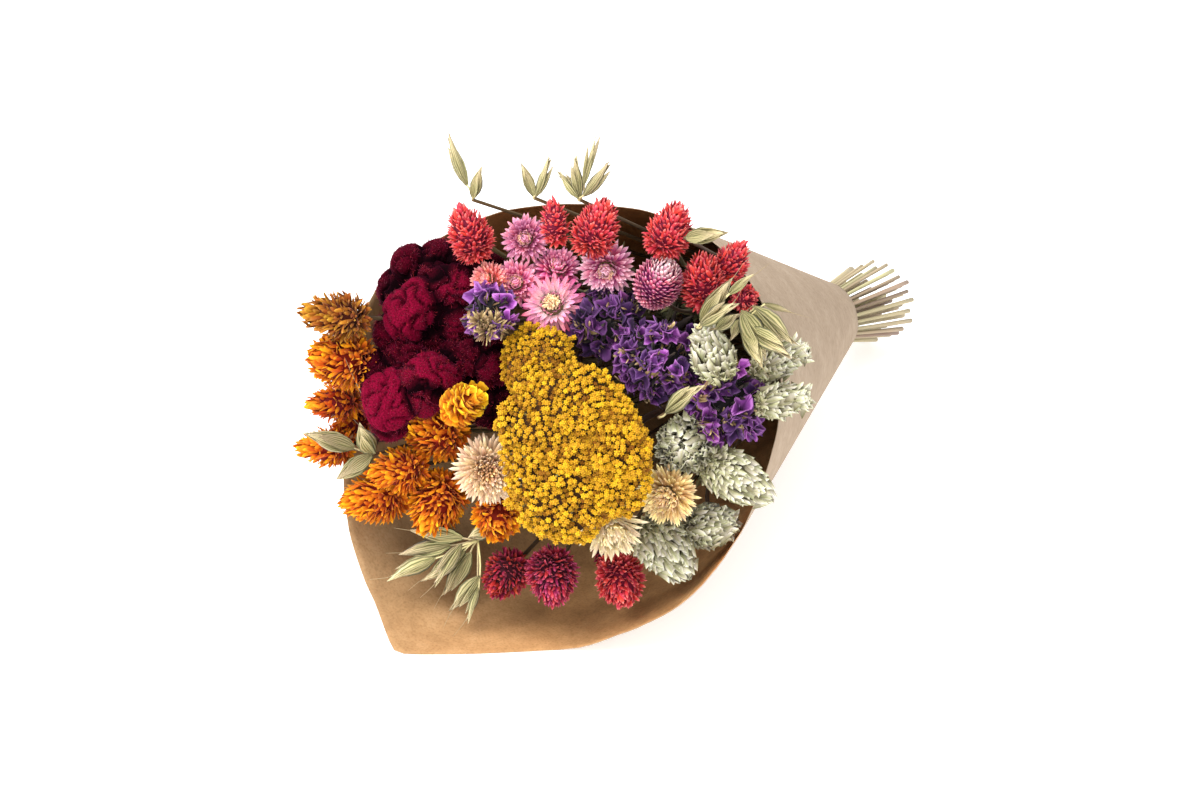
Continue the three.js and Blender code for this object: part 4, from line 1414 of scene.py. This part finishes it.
# side, opening and size of each leaf of a husk
HUSK_LEAVES = ((1, 0.2, 1.0), (-1, 0.17, 0.94), (0.4, 0.03, 0.8))
BRISTLE_ROOT, BRISTLE_LENGTH = 8, 17


def husk_finish(name, root, middle, tip):
    material, tree = new_finish(name, {"Roughness": 0.55, "Sheen Weight": 0.1})
    across, along, pick = read_marks(tree, "across", "along", "pick")
    veins = maths(tree, "SINE", scaled(tree, across, 0, VEINS, start=-1))
    colour = ramp(tree, along, [(0.05, root), (0.5, middle), (0.95, tip)])
    colour = tinted(tree, colour, scaled(tree, veins, start=-1), [(0.12, VEIN_DARK), (0.6, VEIN_LIGHT)])
    return dressed(material, varied(tree, colour, pick, (0.485, 0.51), (0.78, 1.2)), veins, 0.35, 0.0003)


oat_husk = husk_finish("oat_husk", (0.25, 0.23, 0.11), (0.35, 0.315, 0.165), (0.53, 0.44, 0.28))
oat_stalk = papery("oat_stalk", (0.45, 0.38, 0.17), (0.62, 0.52, 0.28))
# pale straw at the cut end, painted nearly black-brown above as the shade inside the wrap
oat_straw_and_shade = papery("oat_straw_and_shade", (0.60, 0.47, 0.31), (0.07, 0.04, 0.018), (0.12, 0.07, 0.032))


def husk_with_bristle(growth, base, tips, wide, fork):
    """Husks from base to tips, each with a stalk from the fork of the stem and a bristle beyond its tip."""
    rng = growth.rng
    way = unit(tips - base)
    long = np.linalg.norm(tips - base, axis=1)
    turn = square_to(unit(rng.normal(0, 1, tips.shape)), way)
    for sign, opening, size in HUSK_LEAVES:
        leaves(growth, base, way + turn * sign * opening, turn * np.sign(sign), long * size * 1.08,
               wide * size, HUSK_OUTLINE, cup=0.95, curl=-0.3, thickness=0.05, lanes=HUSK_LANES)
    for tip, low, heading, aside in zip(tips, base, way, turn):
        knee = (fork + low) / 2 + aside * 0.8 * MM
        twig(growth, [fork, knee, low + heading * 1.5 * MM], 7, (0.45, 0.45), 1, rng.random())
        near = tip - heading * BRISTLE_ROOT * MM
        far = near + heading * BRISTLE_LENGTH * MM + aside * rng.uniform(-4, 4) * MM
        twig(growth, [near, (near + far) / 2 + aside * MM, far], 8, (0.22, 0.05), 1, sides=4)


print("a husk is", HUSK_LENGTH / MM, "mm long at most")

# %% [markdown]
# Where the husks go is found again on the plain solids. The corner farthest from the fork of the stem is a
# tip, then the next farthest that isn't part of the same husk, and so on, until only short lengths are
# left.

# %% Find the husks
SHORTEST_HUSK = 12 * MM
HUSK_REACH = 3.4 * MM


def husk_tips(corners, fork):
    """The far ends of the husks."""
    left, found = corners, []
    while len(left):
        away = np.linalg.norm(left - fork, axis=1)
        if away.max() < SHORTEST_HUSK:
            break
        tip = left[away.argmax()]
        found.append(tip)
        way = unit(tip - fork)
        shift = left - fork
        beside = np.linalg.norm(shift - np.outer(shift @ way, way), axis=1)
        left = left[beside > HUSK_REACH]
    return np.array(found)


print("anything shorter than", SHORTEST_HUSK / MM, "mm isn't a husk")

# %% [markdown]
# Three sprays show a few husks more in the photograph than their plain solids have, and one a long bristle.
# Those are given as they are seen, to the right and up from the fork, so the same small function that turns
# the heads puts them in their place.

# %% Oats
FORK_SHARE = 1.54
MORE_FORWARD = 3
COMMON_HUSK = 7.6
HUSK_WIDTH = {
    "oat_spray_1": 5.2, "oat_spray_2": 5.0, "oat_spray_3": 5.2, "oat_spray_8": 9.0, "oat_spray_9": 8.2}
# where each starts, where it ends, and its width, in mm
MORE_HUSKS = {
    "oat_spray_5": (((8, -1), (18, 6), 5.0), ((13, 14), (24, 23), 4.0)),
    "oat_spray_6": (((-1, 6), (10, -14), 10.0), ((4, 8), (22, -9), 9.0), ((8, 9), (21, 5), 3.0),
                    ((-2, 2), (-5, -7), 4.0)),
    "oat_spray_9": (((6, 5), (-4, 2), 7.0), ((1, -16), (-12, -32), 7.5), ((1, -21), (-5, -37.5), 4.5),
                    ((-7, -1), (-20, -20), 7.0)),
}
LONG_BRISTLES = {"oat_spray_8": ((2, 15, 4), (-5, 31, 18), (-10, 44, 26))}


for name, sprig, growth in started(sprigs, 700, ("oat_spray",)):
    last, end = sprig["knots"][-2:]
    fork = last + FORK_SHARE * (end - last)
    tips = husk_tips(sprig["corners"], fork)
    long = np.minimum(np.linalg.norm(tips - fork, axis=1), HUSK_LENGTH)
    base = tips - unit(tips - fork) * long[:, None]
    wide = np.full(len(tips), HUSK_WIDTH.get(name, COMMON_HUSK) * MM)
    for low, high, one_width in MORE_HUSKS.get(name, ()):
        low, high = (fork + seen(*place, MORE_FORWARD) * MM for place in (low, high))
        base, tips, wide = np.vstack([base, low]), np.vstack([tips, high]), np.append(wide, one_width * MM)
    husk_with_bristle(growth, base, tips, wide, fork)
    stem(growth, sprig, fork, 2)
    if name in LONG_BRISTLES:
        twig(growth, [fork + seen(*place) * MM for place in LONG_BRISTLES[name]], 14, (0.35, 0.15), 1)
    growth.make(name, "oat", [oat_husk, oat_stalk, oat_straw_and_shade], smooth=(0, 1, 2))
    print(name, "has", len(tips), "husks")

# %% [markdown]
# A few turns of raffia hold the stems. Raffia is a flat dry ribbon that twists as it is wound. At this size
# it reads as a thin strand, so each strand is a tube that climbs round the stems in a helix and sways a
# little, and two ends are crossed in a small knot.

# %% Raffia tie
RAFFIA_STRANDS = 5
RAFFIA_TURNS = 2.2
RAFFIA_STEPS = 90
RAFFIA_CLIMB = 3.4
RAFFIA_RADIUS = 0.55
STRAND_LAG = 0.35
raffia = papery("raffia_fibre", (0.50, 0.38, 0.18), (0.60, 0.47, 0.24), streaks=0.4, streak_scale=12.0)
tie_corners = corners_of("tie")
tie_middle = (tie_corners.min(0) + tie_corners.max(0)) / 2
tie_out = np.linalg.norm((tie_corners - tie_middle)[:, :2], axis=1)
WAIST = (tie_out.min() + tie_out.max()) / 2
growth = Growth(800)
for strand in range(RAFFIA_STRANDS):
    rounds = np.linspace(0, RAFFIA_TURNS * 2 * np.pi, RAFFIA_STEPS) + strand * STRAND_LAG
    beside = (strand - RAFFIA_STRANDS // 2) * RAFFIA_RADIUS
    climb = (np.linspace(-0.5, 0.5, RAFFIA_STEPS) * RAFFIA_CLIMB + beside) * MM
    sway = np.array([noise.noise(Vector((a * 0.9, strand * 7.0, 0))) for a in rounds])
    out = WAIST + (sway * 0.5 + 0.18 * (strand % 2)) * MM
    helix = np.stack([out * np.cos(rounds), out * np.sin(rounds), climb + sway * 0.7 * MM], axis=-1)
    tube(growth, helix + tie_middle, RAFFIA_RADIUS * MM, 6, 0, growth.rng.random())
for end in (-1, 1):
    knot = tie_middle + np.array((0, WAIST + 0.6 * MM, 0))
    loop = ((-2.2 * end, -0.4, -1.2), (0, 0.6, 0.3 * end), (1.8 * end, 0.5, 1.4), (1.0 * end, 0.9, -1.6),
            (2.4 * end, 0.6, -5.0), (3.4 * end, 0.2, -8.5))
    line = [knot + np.array(place) * MM for place in loop]
    twig(growth, line, 24, (0.6, 0.6), 0, growth.rng.random(), sides=6)
growth.make("tie", "raffia", [raffia], smooth=(0,), name="raffia_tie")
print("the tie runs round the stems at", round(WAIST / MM, 1), "mm")

# %% [markdown]
# The kraft paper is one sheet rolled into a cone, with its edges overlapping on the left. Where the sheet
# begins at the neck and ends at the mouth differs round the cone, so both edges are given as distances from
# the tie at a number of turns. A turn is in degrees and goes on past 360, so that the overlap is simply
# more turn.

# %% The edges of the sheet
# distances from the tie in mm, at turns in degrees
FRONT_TURNS = (160, 185, 201, 226, 241, 254, 266, 284, 305, 322, 357, 383, 410, 440, 460, 476, 494, 513, 546)
FRONT_REACH = (326, 334, 338, 352, 361, 376, 359, 331, 320, 316, 290, 261, 254, 250, 259, 272, 296, 320, 334)
NECK_TURNS = (160, 270, 320, 380, 430, 460, 546)
NECK_START = (16, 16, 20, 30, 26, 20, 16)
EASED_OVER = (-2, 0, 2)


def smooth_edge(turn, turns, reach):
    """Where an edge of the sheet runs at a turn, eased at its bends."""
    return sum(np.interp(turn + w, turns, reach) for w in EASED_OVER) / len(EASED_OVER) * MM


print("the front edge runs from", min(FRONT_REACH), "to", max(FRONT_REACH), "mm from the tie")

# %% [markdown]
# A flat grid is rolled up by a formula: the turn comes from the place across the sheet, and the distance
# from the tie from the place up it. A real sheet is never a perfect cone, so a slow noise lets it billow
# between the flowers, and where the lip would sink below the table it lies flat on it.

# %% A rolled sheet
PAPER_THICKNESS = 0.35 * MM
NECK_RADIUS = 15 * MM
MOUTH_RADIUS = 100 * MM
MOUTH_DISTANCE = 300 * MM
TABLE_DROP = 37.5 * MM
SEAM_ANGLE = 160
SEAM_OVERLAP = 26
SEAM_LIFT = 0.9 * MM
LIFT_FROM, LIFT_TO = 430, 515
PAPER_ROUND = 150
PAPER_LONG = 34
BILLOW, BILLOW_DEPTH = (2.1, 6), 2.2
CREASE, PAPER_CREASE_DEPTH = (9, 14), 0.5


def uneven_round(rounds, along, roundly, lengthwise):
    """A noise laid round the cone. The bigger its numbers, the closer its swellings."""
    return np.array([noise.noise(Vector((roundly * math.cos(t), roundly * math.sin(t), a * lengthwise)))
                     for t, a in zip(rounds, along)])


def paper_points(turn, share, depth):
    neck = smooth_edge(turn, NECK_TURNS, NECK_START)
    along = neck + share * (smooth_edge(turn, FRONT_TURNS, FRONT_REACH) - neck)
    ease = np.clip((turn - LIFT_FROM) / (LIFT_TO - LIFT_FROM), 0, 1)
    lift = ease * ease * (3 - 2 * ease) * SEAM_LIFT
    rounds = np.radians(turn)
    billow = uneven_round(rounds, along, *BILLOW) * BILLOW_DEPTH
    crease = uneven_round(rounds, along, *CREASE) * PAPER_CREASE_DEPTH
    swell = np.clip(along / MOUTH_DISTANCE, 0, 1) ** 2
    radius = NECK_RADIUS + (MOUTH_RADIUS - NECK_RADIUS) * along / MOUTH_DISTANCE + lift - depth
    radius = radius + swell * (billow + crease) * MM
    floor = -(TABLE_DROP + LIE_SLOPE * along) + depth / math.cos(LIE_ANGLE)
    return np.stack([radius * np.cos(rounds), np.maximum(radius * np.sin(rounds), floor), along], axis=-1)


def rolled_sheet(growth):
    """Both faces of the sheet and the narrow strip of its edge between them."""
    turns = SEAM_ANGLE + np.linspace(0, 1, PAPER_ROUND + 1) * (360 + SEAM_OVERLAP)
    shares = 1 - (1 - np.linspace(0, 1, PAPER_LONG + 1)) ** 1.3
    turn, share = (grid.ravel() for grid in np.meshgrid(turns, shares, indexing="ij"))
    outside, inside = (paper_points(turn, share, depth) for depth in (0.0, PAPER_THICKNESS))
    index = np.arange(len(turn)).reshape(PAPER_ROUND + 1, PAPER_LONG + 1)
    skin = np.stack([index[:-1, :-1], index[1:, :-1], index[1:, 1:], index[:-1, 1:]], axis=-1).reshape(-1, 4)
    rim = np.concatenate([index[:-1, 0], index[-1, :-1], index[:0:-1, -1], index[0, :0:-1]])
    after = np.roll(rim, -1)
    under = len(turn)
    hem = np.stack([rim, rim + under, after + under, after], axis=-1)
    growth.add(np.concatenate([outside, inside]), [skin, skin[:, ::-1] + under, hem], (0, 1, 0),
               along=np.tile(share, 2), across=np.tile(turn / 360, 2), pick=np.repeat((0.0, 1.0), under))


print("the sheet is turned through", 360 + SEAM_OVERLAP, "degrees")

# %% [markdown]
# Kraft paper is mottled by its pulp and has short fibres that lie mostly one way, so two noises are laid over
# a plain brown, one in soft patches and one stretched into threads. Inside the cone the light isn't even: the
# bottom catches the lamps, light glows through the right side of the sheet, and the arch over the flowers is
# lit only by more brown paper. That difference is painted into the colour. Tints that follow the turn round
# the cone paint light on the bottom, a glow on the right side and shade over the arch. The inside of the
# sheet is also painted darker and warmer than the outside.

# %% Kraft paper
def kraft(name, low, middle, high, lit=WHITE, glow=WHITE, painted_shade=WHITE):
    """lit paints light on the bottom of the cone, glow a glow through its right side and painted_shade shade
    over the arch above the flowers.
    """
    material, tree = new_finish(name, {"Roughness": 0.8})
    place = node(tree, "ShaderNodeTexCoord").outputs["Object"]
    mottle = speckle(tree, place, 55.0, 6.0, 0.7)
    fibre_at = node(tree, "ShaderNodeMapping", {"Vector": place, "Scale": (900, 900, 260)}).outputs[0]
    fibre = speckle(tree, fibre_at, 1.0, 2.0)
    colour = ramp(tree, mottle, [(0.3, low), (0.55, middle), (0.75, high)])
    threads = [(0.3, (0.84, 0.82, 0.78)), (0.5, WHITE), (0.72, (1.06, 1.06, 1.05))]
    colour = tinted(tree, colour, fibre, threads)
    turned = scaled(tree, read_marks(tree, "across")[0], start=0.65, end=1.5)
    colour = tinted(tree, colour, turned, [(0.0, WHITE), (0.14, lit), (0.28, lit), (0.37, glow), (0.46, glow),
                                           (0.56, painted_shade), (0.82, painted_shade), (1.0, WHITE)])
    return dressed(material, colour, fibre, 0.25, 0.0002)


# the inside is a darker, warmer brown than the outside: painted shade and warm light bounced inside the cone
kraft_outside = kraft("kraft_outside", (0.34, 0.25, 0.172), (0.40, 0.30, 0.212), (0.45, 0.35, 0.256))
kraft_inside = kraft("kraft_inside", (0.24, 0.142, 0.066), (0.325, 0.20, 0.098), (0.40, 0.26, 0.14),
                     lit=(1.45, 1.28, 1.1), glow=(2.1, 1.15, 0.6), painted_shade=(1.0, 0.66, 0.42))
growth = Growth()
rolled_sheet(growth)
growth.make("paper_wrap", "kraft_paper", [kraft_outside, kraft_inside], smooth=(0, 1), name="kraft_wrap")
print("paper sheet of", growth.count, "corners")

# %% [markdown]
# Last, the size of everything that was made is written beside the size of the plain solids, which shows at a
# glance whether a piece has strayed.

# %% Sizes and finish
visual_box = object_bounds()
for label, (low, high) in (("visual box", visual_box), ("CAD box", CAD_BOX)):
    print(label, [round(b - a, 4) for a, b in zip(low, high)])
